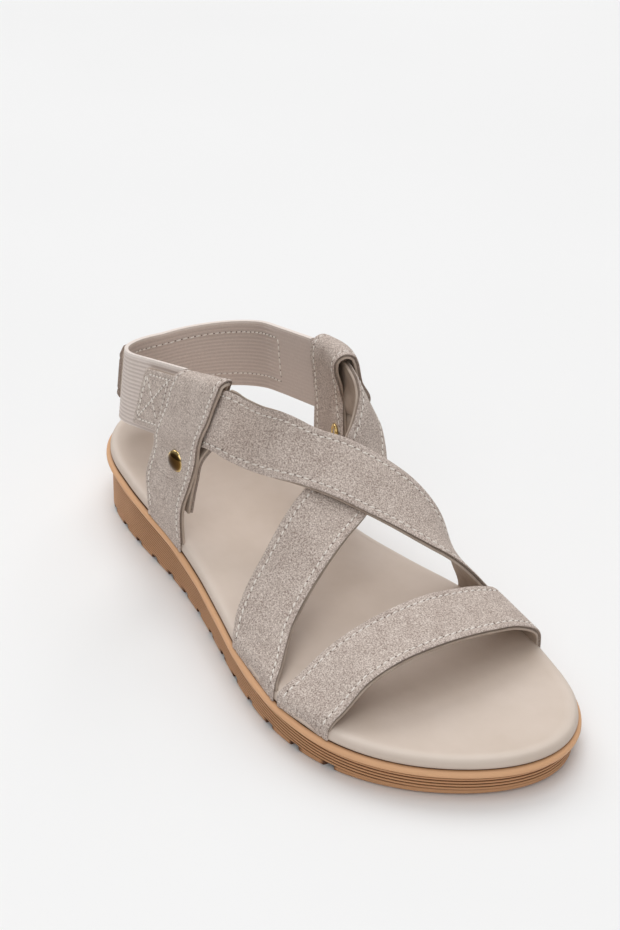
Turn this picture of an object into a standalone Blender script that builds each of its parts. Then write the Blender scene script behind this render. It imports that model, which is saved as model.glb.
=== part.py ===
"""Cross strap sandal, right shoe, empty and standing on its sole.

The frame: metres, +Z up, +X towards the toe, +Y towards the medial (inner) side,
origin at the middle of the sole on the floor.

The sole's outline, the heights of its top and the courses of the straps are short tables.
Their lengths are shares of the named sizes: "along" of INSOLE_LENGTH from the heel,
"across" of BALL_WIDTH from the middle, "up" of RISE_UNIT above the outsole's top.
"""
import math

import bpy
from mathutils import Vector
from mathutils.bvhtree import BVHTree

# Sole
INSOLE_LENGTH = 0.2468
BALL_WIDTH = 0.0904
HEEL_HEIGHT = 0.0226
TOE_HEIGHT = 0.0090
TOE_SPRING = 0.0010
LIP_REACH = 0.0012
LIP_HEIGHT = 0.0030
WALL_INSET = 0.0010
RIB_PITCH = 0.00135
RIB_DEPTH = 0.0005
PLAIN_EDGE = 0.0022
BOTTOM_ROUND = 0.0012
TREAD_WIDTH = 0.0042
TREAD_DEPTH = 0.0014
TREAD_COUNT = 14
FIRST_TREAD = 0.125
LAST_TREAD = 0.846
INSOLE_THICKNESS = 0.0034
HEEL_CUP = 0.0016
FOREFOOT_DISH = 0.0005
ARCH_LIFT = 0.0016

# Straps
STRAP_THICKNESS = 0.0020
STRAP_WIDTH = 0.0220
RISE_UNIT = 0.0700
FOOT_PROUD = 0.0004
GAP = 0.0003
JOIN_DEPTH = 0.0005
DIP_REACH = 6
CLOSURE_END = -0.42
TAB_END = 0.0577
TAB_SLANT = 0.0037

# Heel band: its outer face in plan is half an ellipse that runs on in two straight sides
BAND_WIDTH = 0.0270
BAND_THICKNESS = 0.0014
BAND_SETBACK = 0.0117
BAND_DEPTH = 0.0357
BAND_HALF = 0.0281
BAND_SHIFT = 0.0007
BAND_CENTRE = 0.0250
BAND_RISE = 0.26
BAND_MEDIAL_RISE = 0.19
BAND_MEDIAL_LIFT = 0.0028
BAND_LEAN = 0.10
ELASTIC_END_GAP = 0.0022
PATCH_THICKNESS = 0.0012
PATCH_END = 0.0594

# How far a strap's outer face is outside the band's, and so where it runs through a loop
STRAP_OUT = GAP + STRAP_THICKNESS

# Loops and rivets. A loop starts a distance from the heel, rises to its bend and leans
# forward from there. Its rivet is ahead of its middle.
LATERAL_LOOP = {"foot": 0.0694, "span": 0.0280, "bend": 0.0175, "lean": 0.455, "rivet": 0.0333}
MEDIAL_LOOP = {"foot": 0.0839, "span": 0.0260, "bend": 0.0175, "lean": 0.0, "rivet": 0.0338}
LOOP_EASE = 0.0008
LOOP_BOW = 0.0008
PLY_OPENING = 0.0034
INNER_PLY_SETBACK = 0.0042
INNER_PLY_END = 0.0120
EXIT_RUN = 0.0030
RIVET_AHEAD = 0.0030
RIVET_CAP = 0.0075
RIVET_DOME = 0.0021
RIVET_SHANK = 0.0030
RIVET_RING = 0.0064
RIVET_BORE = 0.0034

SOLE_SECTIONS = [
    # along, centre, fullness, top
    (0.00, 0.025, 0.600, 1.00),
    (0.10, 0.023, 0.543, 0.94),
    (0.20, 0.010, 0.452, 0.83),
    (0.34, -0.022, 0.358, 0.63),
    (0.45, -0.038, 0.352, 0.50),
    (0.56, -0.035, 0.410, 0.43),
    (0.66, -0.018, 0.499, 0.33),
    (0.76, 0.000, 0.585, 0.21),
    (0.85, 0.019, 0.643, 0.10),
    (0.93, 0.063, 0.690, 0.035),
    (1.00, 0.115, 0.700, 0.00),
]
CENTRE, FULLNESS, TOP = 1, 2, 3

TOE_STRAP = [
    # rear edge: along, across, up; front edge: along, across, up
    (0.755, -0.409, 0.118, 0.846, -0.374, 0.136),
    (0.751, -0.306, 0.193, 0.842, -0.285, 0.220),
    (0.749, -0.196, 0.250, 0.840, -0.183, 0.267),
    (0.747, -0.030, 0.298, 0.836, -0.008, 0.287),
    (0.741, 0.135, 0.299, 0.831, 0.154, 0.273),
    (0.739, 0.256, 0.280, 0.828, 0.261, 0.253),
    (0.737, 0.368, 0.240, 0.825, 0.362, 0.205),
    (0.731, 0.452, 0.166, 0.821, 0.448, 0.116),
]
TOE_STRAP_FEET = ((0.761, 0.849), (0.730, 0.814))

OVER_STRAP = [
    # upper edge: along, across, up; lower edge: along, across, up
    (0.484, -0.178, 0.885, 0.474, -0.271, 0.612),
    (0.483, -0.041, 0.800, 0.512, -0.196, 0.591),
    (0.504, 0.045, 0.760, 0.553, -0.118, 0.598),
    (0.532, 0.143, 0.713, 0.587, -0.025, 0.569),
    (0.562, 0.243, 0.638, 0.615, 0.054, 0.524),
    (0.594, 0.343, 0.526, 0.647, 0.144, 0.469),
    (0.618, 0.407, 0.386, 0.679, 0.229, 0.413),
    (0.632, 0.429, 0.249, 0.705, 0.319, 0.345),
    (0.642, 0.445, 0.150, 0.719, 0.407, 0.228),
]
OVER_STRAP_FOOT = (0.652, 0.722)

UNDER_STRAP = [
    # upper edge: along, across, up; lower edge: along, across, up
    (0.418, 0.314, 0.907, 0.428, 0.348, 0.605),
    (0.456, 0.282, 0.916, 0.457, 0.354, 0.616),
    (0.494, 0.249, 0.894, 0.488, 0.353, 0.608),
    (0.517, 0.180, 0.835, 0.526, 0.322, 0.587),
    (0.530, 0.097, 0.756, 0.562, 0.261, 0.558),
    (0.540, 0.025, 0.671, 0.593, 0.175, 0.530),
    (0.551, -0.053, 0.594, 0.617, 0.080, 0.502),
    (0.563, -0.140, 0.524, 0.635, -0.015, 0.470),
    (0.574, -0.218, 0.442, 0.652, -0.110, 0.417),
    (0.585, -0.292, 0.346, 0.666, -0.198, 0.350),
    (0.597, -0.373, 0.245, 0.680, -0.273, 0.289),
    (0.613, -0.445, 0.141, 0.703, -0.367, 0.209),
    (0.622, -0.468, 0.085, 0.733, -0.450, 0.115),
]
UNDER_STRAP_FOOT = (0.628, 0.752)

LATERAL, MEDIAL = -1, 1


def remove_all():
    for thing in list(bpy.data.objects):
        bpy.data.objects.remove(thing, do_unlink=True)


def read(table, column, at):
    """Smooth reading of one column of a table whose first column rises."""
    knots = [row[0] for row in table]
    values = [row[column] for row in table]
    at = min(max(at, knots[0]), knots[-1])
    last = len(knots) - 2
    i = min(max(sum(1 for knot in knots if knot <= at) - 1, 0), last)

    def slope(k):
        low, high = max(k - 1, 0), min(k + 1, len(knots) - 1)
        return (values[high] - values[low]) / (knots[high] - knots[low])

    step = knots[i + 1] - knots[i]
    t = (at - knots[i]) / step
    start = values[i] * (1 + 2 * t) * (1 - t) ** 2 + slope(i) * step * t * (1 - t) ** 2
    end = values[i + 1] * t * t * (3 - 2 * t) + slope(i + 1) * step * t * t * (t - 1)
    return start + end


def along_of(x):
    return x / INSOLE_LENGTH + 0.5


def x_of(along):
    return (along - 0.5) * INSOLE_LENGTH


def spring(along):
    start = SOLE_SECTIONS[-4][0]
    return TOE_SPRING * max(along - start, 0.0) ** 2 / (1.0 - start) ** 2


def sole_top(x):
    """Height of the outsole's top, on which the insole and the straps' feet sit."""
    along = along_of(x)
    top = read(SOLE_SECTIONS, TOP, along)
    return TOE_HEIGHT + (HEEL_HEIGHT - TOE_HEIGHT) * top + spring(along)


def side_y(along, side):
    """The insole's edge on one side."""
    along = min(max(along, 0.0), 1.0)
    half = read(SOLE_SECTIONS, FULLNESS, along) * 2 * math.sqrt(along * (1 - along))
    return (read(SOLE_SECTIONS, CENTRE, along) + side * half) * BALL_WIDTH


def outline(offset, half_count):
    """Closed outline, heel to toe on the medial side and back, grown by offset."""
    shares = [(1 - math.cos(math.pi * i / half_count)) / 2 for i in range(half_count + 1)]
    medial = [Vector((x_of(s), side_y(s, MEDIAL))) for s in shares]
    lateral = [Vector((x_of(s), side_y(s, LATERAL))) for s in shares[-2:0:-1]]
    ring = medial + lateral
    grown = []
    for i, point in enumerate(ring):
        run = ring[(i + 1) % len(ring)] - ring[i - 1]
        outward = Vector((-run.y, run.x)).normalized()
        grown.append(point + outward * offset)
    return grown


def material(name, rgb, roughness, metallic=0.0):
    finish = bpy.data.materials.new(name)
    finish.use_nodes = True
    shader = finish.node_tree.nodes["Principled BSDF"]
    shader.inputs["Base Color"].default_value = (*rgb, 1.0)
    shader.inputs["Roughness"].default_value = roughness
    shader.inputs["Metallic"].default_value = metallic
    return finish


def add_object(name, points, faces, finish, smooth_angle=math.radians(40)):
    mesh = bpy.data.meshes.new(name)
    mesh.from_pydata([tuple(p) for p in points], [], faces)
    mesh.validate()
    mesh.update()
    mesh.shade_smooth()
    mesh.set_sharp_from_angle(angle=smooth_angle)
    mesh.materials.append(finish)
    piece = bpy.data.objects.new(name, mesh)
    bpy.context.collection.objects.link(piece)
    return piece


def as_tool(piece):
    """A cutter or a joined part, which isn't a node of its own."""
    piece.hide_render = True
    piece.display_type = "WIRE"
    return piece


def boolean(piece, other, operation):
    modifier = piece.modifiers.new(operation.title() + "_" + other.name, "BOOLEAN")
    modifier.object = other
    modifier.operation = operation
    modifier.solver = "EXACT"


def stack_rings(rings):
    """Closed mesh from rings of one count, capped between its two sides. Points that fall
    together are merged."""
    count = len(rings[0])
    points, index, numbers = [], {}, []
    for ring in rings:
        row = []
        for p in ring:
            key = tuple(round(c, 7) for c in p)
            if key not in index:
                index[key] = len(points)
                points.append(p)
            row.append(index[key])
        numbers.append(row)
    faces = []

    def add_face(corners):
        kept = [c for i, c in enumerate(corners) if c != corners[i - 1]]
        if len(set(kept)) >= 3:
            faces.append(kept)

    for low, high in zip(numbers, numbers[1:]):
        for i in range(count):
            j = (i + 1) % count
            add_face([low[j], low[i], high[i], high[j]])
    for i in range(count // 2):
        mates = (i, i + 1, (count - i - 1) % count, (count - i) % count)
        add_face([numbers[0][m] for m in mates])
        add_face([numbers[-1][m] for m in mates[::-1]])
    return points, faces


def make_outsole(finish):
    """Rubber unit: flat tread, ribbed wall, and a smooth lip that stands out round the top."""
    half_count = 44
    ridge = outline(-WALL_INSET, half_count)
    valley = outline(-WALL_INSET - RIB_DEPTH, half_count)
    bottoms = [spring(along_of(p.x)) for p in ridge]
    tops = [sole_top(p.x) for p in ridge]
    under_lip = [top - LIP_HEIGHT for top in tops]
    low = [bottom + PLAIN_EDGE for bottom in bottoms]

    def ring(offset, heights):
        return [Vector((*p, z)) for p, z in zip(outline(offset, half_count), heights)]

    rings = [
        ring(-WALL_INSET - BOTTOM_ROUND, bottoms),
        ring(-WALL_INSET, [bottom + BOTTOM_ROUND for bottom in bottoms]),
        ring(-WALL_INSET, low),
    ]
    tallest = max(high - start for high, start in zip(under_lip, low))
    for row in range(2 * int(tallest / RIB_PITCH), -1, -1):
        wall = ridge if row % 2 else valley
        level = []
        for p, plain, high, start in zip(wall, ridge, under_lip, low):
            z = high - row * RIB_PITCH / 2
            clear = z > start + RIB_PITCH / 4
            level.append(Vector((*p, z)) if clear else Vector((*plain, start)))
        rings.append(level)
    rings.append(ring(LIP_REACH - LIP_HEIGHT / 3, under_lip))
    rings.append(ring(LIP_REACH, [z + LIP_HEIGHT * 0.25 for z in under_lip]))
    rings.append(ring(LIP_REACH, [z + LIP_HEIGHT * 0.62 for z in under_lip]))
    rings.append(ring(LIP_REACH - LIP_HEIGHT / 3, [z + LIP_HEIGHT * 0.94 for z in under_lip]))
    rings.append(ring(-GAP, tops))
    sole = add_object("outsole", *stack_rings(rings), finish)
    boolean(sole, tread_cutter(finish), "DIFFERENCE")
    return sole


def tread_cutter(finish):
    """Cross channels between the tread's lugs, which end as notches in the sole's edge."""
    points, faces = [], []
    foot, crown = TREAD_WIDTH / 2, TREAD_WIDTH / 3
    for k in range(TREAD_COUNT):
        x = x_of(FIRST_TREAD + (LAST_TREAD - FIRST_TREAD) * k / (TREAD_COUNT - 1))
        start = len(points)
        for y in (-BALL_WIDTH, BALL_WIDTH):
            points += [
                Vector((x - foot, y, -TREAD_DEPTH)),
                Vector((x + foot, y, -TREAD_DEPTH)),
                Vector((x + crown, y, TREAD_DEPTH)),
                Vector((x - crown, y, TREAD_DEPTH)),
            ]
        corners = ((0, 1, 2, 3), (7, 6, 5, 4), (0, 4, 5, 1), (1, 5, 6, 2), (2, 6, 7, 3), (3, 7, 4, 0))
        faces += [[start + c for c in face] for face in corners]
    return as_tool(add_object("tread_cutter", points, faces, finish))


def insole_top(x, y, inward):
    """Height of the insole's face, at a share of the way in from its edge."""
    along = along_of(x)
    cup = HEEL_CUP * max(0.0, 1 - along / 0.36)
    dish = FOREFOOT_DISH * min(1.0, along / 0.36)
    hump = math.exp(-((along - 0.40) / 0.13) ** 2)
    medial = (y - side_y(along, LATERAL)) / (side_y(along, MEDIAL) - side_y(along, LATERAL))
    arch = ARCH_LIFT * hump * max(medial - 0.4, 0.0)
    depth = (cup + dish) * math.sin(math.pi / 2 * inward)
    return sole_top(x) + GAP + INSOLE_THICKNESS - depth + arch


def make_insole(finish):
    """Padded footbed: rounded edge, cupped heel, lifted arch and a slight forefoot dish."""
    half_count = 38
    rings = []
    for inset, share in ((0.0009, 0.0), (0.0, 0.26), (0.0, 0.56), (0.0008, 0.86), (0.0024, 1.0)):
        edge = outline(-inset, half_count)
        rings.append([Vector((*p, sole_top(p.x) + GAP + INSOLE_THICKNESS * share)) for p in edge])
    edge = rings[-1]
    for inward in (0.25, 0.5, 0.78):
        ring = []
        for p in edge:
            along = min(max(along_of(p.x), 0.10), 0.90)
            middle = (side_y(along, MEDIAL) + side_y(along, LATERAL)) / 2
            x = p.x + (x_of(along) - p.x) * inward
            y = p.y + (middle - p.y) * inward
            ring.append(Vector((x, y, insole_top(x, y, inward))))
        rings.append(ring)
    return add_object("insole", *stack_rings(rings), finish)


def place(along, across, up):
    x = x_of(along)
    return Vector((x, across * BALL_WIDTH, sole_top(x) + up * RISE_UNIT))


def table_rows(table):
    return [(place(*row[:3]), place(*row[3:])) for row in table]


def foot_rows(alongs, side):
    """Where a strap runs straight down past the insole's edge: its shoulder, then its end."""
    rows = []
    for rise in (INSOLE_THICKNESS + GAP, 0.0):
        pair = []
        for along in alongs:
            y = side_y(along, side) + side * FOOT_PROUD
            pair.append(Vector((x_of(along), y, sole_top(x_of(along)) + GAP + rise)))
        rows.append(tuple(pair))
    return rows


def smooth_rows(rows, stations):
    """Evenly spaced rows on a smooth course through the given ones."""
    knots = [0.0]
    for low, high in zip(rows, rows[1:]):
        knots.append(knots[-1] + ((high[0] + high[1]) - (low[0] + low[1])).length / 2)
    last = len(rows) - 1

    def slope(edge, i):
        if i == 0 or i == last:
            near = min(i, last - 1)
            return (rows[near + 1][edge] - rows[near][edge]) / (knots[near + 1] - knots[near])
        before, after = knots[i] - knots[i - 1], knots[i + 1] - knots[i]
        into = (rows[i][edge] - rows[i - 1][edge]) / before
        out_of = (rows[i + 1][edge] - rows[i][edge]) / after
        return (into * after + out_of * before) / (before + after)

    def at(edge, want):
        i = min(sum(1 for knot in knots[1:] if knot <= want), last - 1)
        step = knots[i + 1] - knots[i]
        t = (want - knots[i]) / step
        start = rows[i][edge] * (1 + 2 * t) * (1 - t) ** 2 + slope(edge, i) * step * t * (1 - t) ** 2
        end = rows[i + 1][edge] * t * t * (3 - 2 * t) + slope(edge, i + 1) * step * t * t * (t - 1)
        return start + end

    wants = [knots[-1] * k / stations for k in range(stations + 1)]
    return [(at(0, want), at(1, want)) for want in wants]


def sheet_solid(grid, thickness, outward, grow=0.0):
    """Closed sheet from a grid of points on its outer face; its wall goes in from there.

    outward is 1 where the rows' course crossed with their own direction points away from
    the foot, and -1 where it points at it. grow makes the sheet larger all round, for
    cutting the slot that it stands in, and most on its outer side, where the slot is open.
    """
    if grow:
        wider = []
        for row in grid:
            first = row[0] + (row[0] - row[1]).normalized() * grow
            last = row[-1] + (row[-1] - row[-2]).normalized() * grow
            wider.append([first] + row[1:-1] + [last])
        head = [p + (p - q).normalized() * 2 * grow for p, q in zip(wider[0], wider[1])]
        tail = [p + (p - q).normalized() * 2 * grow for p, q in zip(wider[-1], wider[-2])]
        grid = [head] + wider + [tail]
    width = len(grid[0])
    outer, inner = [], []
    for i, row in enumerate(grid):
        low, high = grid[max(i - 1, 0)], grid[min(i + 1, len(grid) - 1)]
        for k, p in enumerate(row):
            forward = high[k] - low[k]
            sideways = row[min(k + 1, width - 1)] - row[max(k - 1, 0)]
            normal = forward.cross(sideways).normalized() * outward
            outer.append(p + normal * grow * 6)
            inner.append(p - normal * (thickness + grow))
    shift = len(outer)
    faces = []
    for i in range(len(grid) - 1):
        for k in range(width - 1):
            a, b = i * width + k, i * width + k + 1
            c, d = b + width, a + width
            faces += [(a, d, c, b), (a + shift, b + shift, c + shift, d + shift)]
        a, b = i * width, i * width + width - 1
        faces.append((a, a + shift, a + width + shift, a + width))
        faces.append((b + width, b + width + shift, b + shift, b))
    for k in range(width - 1):
        a, c = k, (len(grid) - 1) * width + k
        faces.append((a + 1, a + 1 + shift, a + shift, a))
        faces.append((c, c + shift, c + 1 + shift, c + 1))
    if outward < 0:
        faces = [face[::-1] for face in faces]
    return outer + inner, faces


def ribbon(rows, thickness, outward, grow=0.0):
    """Closed strap between two edge courses."""
    grid = [[first, first.lerp(second, 0.5), second] for first, second in rows]
    return sheet_solid(grid, thickness, outward, grow)


def band_plan(turn):
    """Where the heel band's outer face is in plan, which way it faces and its middle's
    height. A turn of -1 to 1 goes round the heel, lateral to medial, and beyond that
    along the straight sides."""
    angle = math.pi / 2 * min(max(turn, -1.0), 1.0)
    round_heel = BAND_DEPTH * (1 - math.cos(angle))
    beyond = max(abs(turn) - 1.0, 0.0) * BAND_DEPTH
    x = x_of(0.0) + BAND_SETBACK + round_heel + beyond
    y = BAND_SHIFT + BAND_HALF * math.sin(angle)
    normal = Vector((-math.cos(angle) * BAND_HALF, math.sin(angle) * BAND_DEPTH, 0.0)).normalized()
    rise = BAND_RISE * round_heel + (BAND_RISE if turn < 0 else BAND_MEDIAL_RISE) * beyond
    lift = BAND_MEDIAL_LIFT * max(math.sin(angle), 0.0)
    return x, y, HEEL_HEIGHT + BAND_CENTRE + rise + lift, normal


def band_point(turn, out, up):
    """Point beside the heel band's outer face: out is away from the foot."""
    x, y, height, normal = band_plan(turn)
    return Vector((x, y, height + up)) + normal * (out - BAND_LEAN * up)


def turn_at(distance, side):
    """The turn at which the band's straight side is a distance from the heel's end."""
    return side * (1.0 + (distance - BAND_SETBACK - BAND_DEPTH) / BAND_DEPTH)


def band_rows(start, end, out, width, steps, slant=0.0):
    """Rows along the band. slant puts each upper edge ahead of its middle."""
    rows = []
    for k in range(steps + 1):
        turn = start + (end - start) * k / steps
        ahead = math.copysign(slant / BAND_DEPTH, turn)
        rows.append((band_point(turn + ahead, out, width / 2), band_point(turn - ahead, out, -width / 2)))
    return rows


def loop_distance(shape, share, z):
    """How far from the heel's end a loop is at a height; share is 0 at its rear edge and 1
    at its front edge."""
    start = shape["foot"] + shape["span"] * share
    bend = sole_top(x_of(0.0) + start) + shape["bend"]
    return start + shape["lean"] * max(z - bend, 0.0)


def band_rows_in_loop(shape, side, shares, out, width):
    """Rows along the band's straight side, slanted as the loop's edges are."""
    rows = []
    for share in shares:
        pair = []
        for up in (width / 2, -width / 2):
            distance = loop_distance(shape, share, HEEL_HEIGHT + BAND_CENTRE + BAND_WIDTH / 2)
            for _ in range(4):
                height = band_plan(turn_at(distance, side))[2] + up
                distance = loop_distance(shape, share, height)
            pair.append(band_point(turn_at(distance, side), out, up))
        rows.append(tuple(pair))
    return rows


def over_strap_rows():
    exit_share = 1 + EXIT_RUN / LATERAL_LOOP["span"]
    tab = band_rows(turn_at(TAB_END, LATERAL), turn_at(PATCH_END + TAB_SLANT, LATERAL),
                    STRAP_OUT, STRAP_WIDTH, 1, -TAB_SLANT)
    run = band_rows_in_loop(LATERAL_LOOP, LATERAL, (0.0, 0.5, 1.0, exit_share), STRAP_OUT, STRAP_WIDTH)
    return smooth_rows(tab + run + table_rows(OVER_STRAP) + foot_rows(OVER_STRAP_FOOT, MEDIAL), 40)


def under_strap_rows():
    out = GAP + PATCH_THICKNESS + GAP + STRAP_THICKNESS
    tab = band_rows(CLOSURE_END, turn_at(PATCH_END, MEDIAL), out, STRAP_WIDTH, 10)
    run = band_rows_in_loop(MEDIAL_LOOP, MEDIAL, (0.0,), STRAP_OUT, STRAP_WIDTH)
    return smooth_rows(tab + run + table_rows(UNDER_STRAP) + foot_rows(UNDER_STRAP_FOOT, LATERAL), 54)


def toe_strap_rows():
    lateral, medial = TOE_STRAP_FEET
    rows = foot_rows(lateral, LATERAL)[::-1] + table_rows(TOE_STRAP) + foot_rows(medial, MEDIAL)
    return smooth_rows(rows, 28)


def lie_under(rows, above):
    """Lowers a strap where it would pass through the one above, smoothly along its length."""
    tree = BVHTree.FromPolygons(*ribbon(above, STRAP_THICKNESS, -1))
    up = Vector((0.0, 0.0, 1.0))
    deep = Vector((0.0, 0.0, -RISE_UNIT))
    needs = []
    for first, second in rows:
        need = 0.0
        for k in range(5):
            p = first.lerp(second, k / 4)
            hit = tree.ray_cast(p + deep, up)[0]
            if hit is not None:
                need = max(need, p.z - JOIN_DEPTH - hit.z)
        needs.append(need)
    lowered = []
    for i, (first, second) in enumerate(rows):
        dip = 0.0
        for k, need in enumerate(needs):
            away = min(abs(k - i) / DIP_REACH, 1.0)
            dip = max(dip, need * (1 + math.cos(math.pi * away)) / 2)
        lowered.append((first - Vector((0.0, 0.0, dip)), second - Vector((0.0, 0.0, dip))))
    return lowered


def row_at(rows, distance):
    """The strap's row whose middle is a distance from the heel's end, the first such one
    beyond the round of the heel."""
    want = x_of(0.0) + distance
    middles = [(first.x + second.x) / 2 for first, second in rows]
    start = middles.index(min(middles[:len(rows) // 2]))
    for k in range(start, len(rows) - 1):
        if middles[k] <= want <= middles[k + 1]:
            t = (want - middles[k]) / (middles[k + 1] - middles[k])
            return tuple(rows[k][edge].lerp(rows[k + 1][edge], t) for edge in (0, 1))
    return rows[-1]


def rows_through(shape, rows):
    """The strap's rows at even steps through its loop."""
    steps = 5
    found = []
    for k in range(steps + 1):
        distance = shape["foot"] + shape["span"] * k / steps
        for _ in range(4):
            first, second = row_at(rows, distance)
            distance = loop_distance(shape, k / steps, (first.z + second.z) / 2)
        found.append((k / steps, first, second))
    return found


def rivet_place(shape, side, rows):
    """Centre of the rivet on the face where the loop's two plies meet."""
    strap_edge = rows_through(shape, rows)[2][2]
    distance = shape["foot"] + shape["span"] / 2
    edge = side_y(along_of(x_of(0.0) + distance), side) + side * FOOT_PROUD
    z = sole_top(x_of(0.0) + distance) + shape["rivet"]
    x = x_of(0.0) + loop_distance(shape, 0.5, z) + RIVET_AHEAD
    return Vector((x, (edge + strap_edge.y) / 2 - side * STRAP_THICKNESS / 2, z))


def loop_grid(shape, side, rows):
    """A folded strip: up outside the strap, over its top edge and down inside it."""
    ply = STRAP_THICKNESS
    rivet = rivet_place(shape, side, rows)
    through = rows_through(shape, rows)
    columns = []
    for k, (share, first, second) in enumerate(through):
        before, after = through[max(k - 1, 0)], through[min(k + 1, len(through) - 1)]
        forward = (after[1] + after[2]) - (before[1] + before[2])
        rise = (first - second).normalized()
        out = rise.cross(forward).normalized()
        out = out if out.y * side > 0 else -out
        middle = (first + second) / 2

        def at(z, y):
            return Vector((x_of(0.0) + loop_distance(shape, share, z), y, z))

        start = x_of(0.0) + shape["foot"] + shape["span"] * share
        floor = sole_top(start) + GAP
        bend = sole_top(start) + shape["bend"]
        edge = side_y(along_of(start), side) + side * FOOT_PROUD
        face = rivet.y + side * (GAP / 2 + ply)
        column = [at(floor, edge), at(floor + INSOLE_THICKNESS, edge)]
        column.append(at(bend, (edge + face) / 2 + side * LOOP_BOW))
        low = rivet.z - RIVET_CAP * 0.6
        high = min(rivet.z + RIVET_CAP * 0.6, second.z - PLY_OPENING)
        column += [at(low, face), at(high, face)]
        column += [p + out * (LOOP_EASE + ply) for p in (second, middle, first)]
        radius = ply / 2 + LOOP_EASE + ply
        for turned_by in (1 / 6, 1 / 3, 1 / 2, 2 / 3, 5 / 6):
            angle = math.pi * turned_by
            column.append(first + out * (radius * math.cos(angle) - ply / 2) + rise * radius * math.sin(angle)
                          - Vector((INNER_PLY_SETBACK * share * turned_by, 0.0, 0.0)))
        for p, setback in ((first, 1.0), (middle, 0.6), (second, 0.0)):
            back = Vector((INNER_PLY_SETBACK * share * setback, 0.0, 0.0))
            column.append(p - out * (ply + LOOP_EASE + ply) - back)
        face = rivet.y - side * (GAP / 2 + ply)
        column += [at(high, face), at(low, face), at(sole_top(start) + INNER_PLY_END, face)]
        columns.append(column)
    return [list(row) for row in zip(*columns)]


def turned(name, profile, centre, side, finish):
    """A turned piece on an axis across the shoe. The profile is (outward, radius) pairs
    whose first and last are on the axis."""
    segments = 20
    points = [Vector((0.0, profile[0][0], 0.0))]
    for out, radius in profile[1:-1]:
        for k in range(segments):
            angle = 2 * math.pi * k / segments
            points.append(Vector((radius * math.cos(angle), out, radius * math.sin(angle))))
    points.append(Vector((0.0, profile[-1][0], 0.0)))
    faces = []
    rings = len(profile) - 2
    for k in range(segments):
        j = (k + 1) % segments
        faces.append((0, 1 + k, 1 + j))
        faces.append((len(points) - 1, 1 + (rings - 1) * segments + j, 1 + (rings - 1) * segments + k))
        for ring in range(rings - 1):
            a, b = 1 + ring * segments + k, 1 + ring * segments + j
            faces.append((a, a + segments, b + segments, b))
    points = [centre + Vector((p.x, side * p.y, p.z)) for p in points]
    if side == MEDIAL:
        faces = [face[::-1] for face in faces]
    return add_object(name, points, faces, finish)


def make_rivet(name, centre, side, finish):
    """Domed cap outside, a shank through both plies, and a hollow ring inside."""
    face = GAP / 2 + STRAP_THICKNESS + GAP
    cap, ring, bore = RIVET_CAP / 2, RIVET_RING / 2, RIVET_BORE / 2
    profile = [
        (face + RIVET_DOME, 0.0),
        (face + RIVET_DOME * 0.92, cap * 0.36),
        (face + RIVET_DOME * 0.68, cap * 0.68),
        (face + RIVET_DOME * 0.32, cap * 0.92),
        (face + RIVET_DOME * 0.12, cap),
        (face, cap * 0.96),
        (face, RIVET_SHANK / 2),
        (-face, RIVET_SHANK / 2),
        (-face, ring * 0.96),
        (-face - RIVET_DOME * 0.25, ring),
        (-face - RIVET_DOME * 0.45, ring * 0.84),
        (-face - RIVET_DOME * 0.38, bore),
        (-face + GAP, bore * 0.8),
        (-face + GAP, 0.0),
    ]
    return turned(name, profile, centre, side, finish)


def make_loop(name, grid, centre, side, finish):
    loop = add_object(name, *sheet_solid(grid, STRAP_THICKNESS, side), finish)
    reach, radius = 2 * STRAP_THICKNESS, RIVET_SHANK / 2 + GAP
    bore = [(reach, 0.0), (reach, radius), (-reach, radius), (-reach, 0.0)]
    boolean(loop, as_tool(turned(name + "_bore", bore, centre, side, finish)), "DIFFERENCE")
    return loop


def elastic_rows():
    """The elastic stops short of both loops, along their slanted rear edges."""
    def end_row(shape, side):
        share = -ELASTIC_END_GAP / shape["span"]
        return band_rows_in_loop(shape, side, (share,), 0.0, BAND_WIDTH)

    middle = band_rows(-1.2, 1.2, 0.0, BAND_WIDTH, 20)
    return end_row(LATERAL_LOOP, LATERAL) + middle + end_row(MEDIAL_LOOP, MEDIAL)


def patch_rows():
    end = turn_at(PATCH_END, MEDIAL)
    return band_rows(CLOSURE_END, end, GAP + PATCH_THICKNESS, STRAP_WIDTH, 16)


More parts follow.
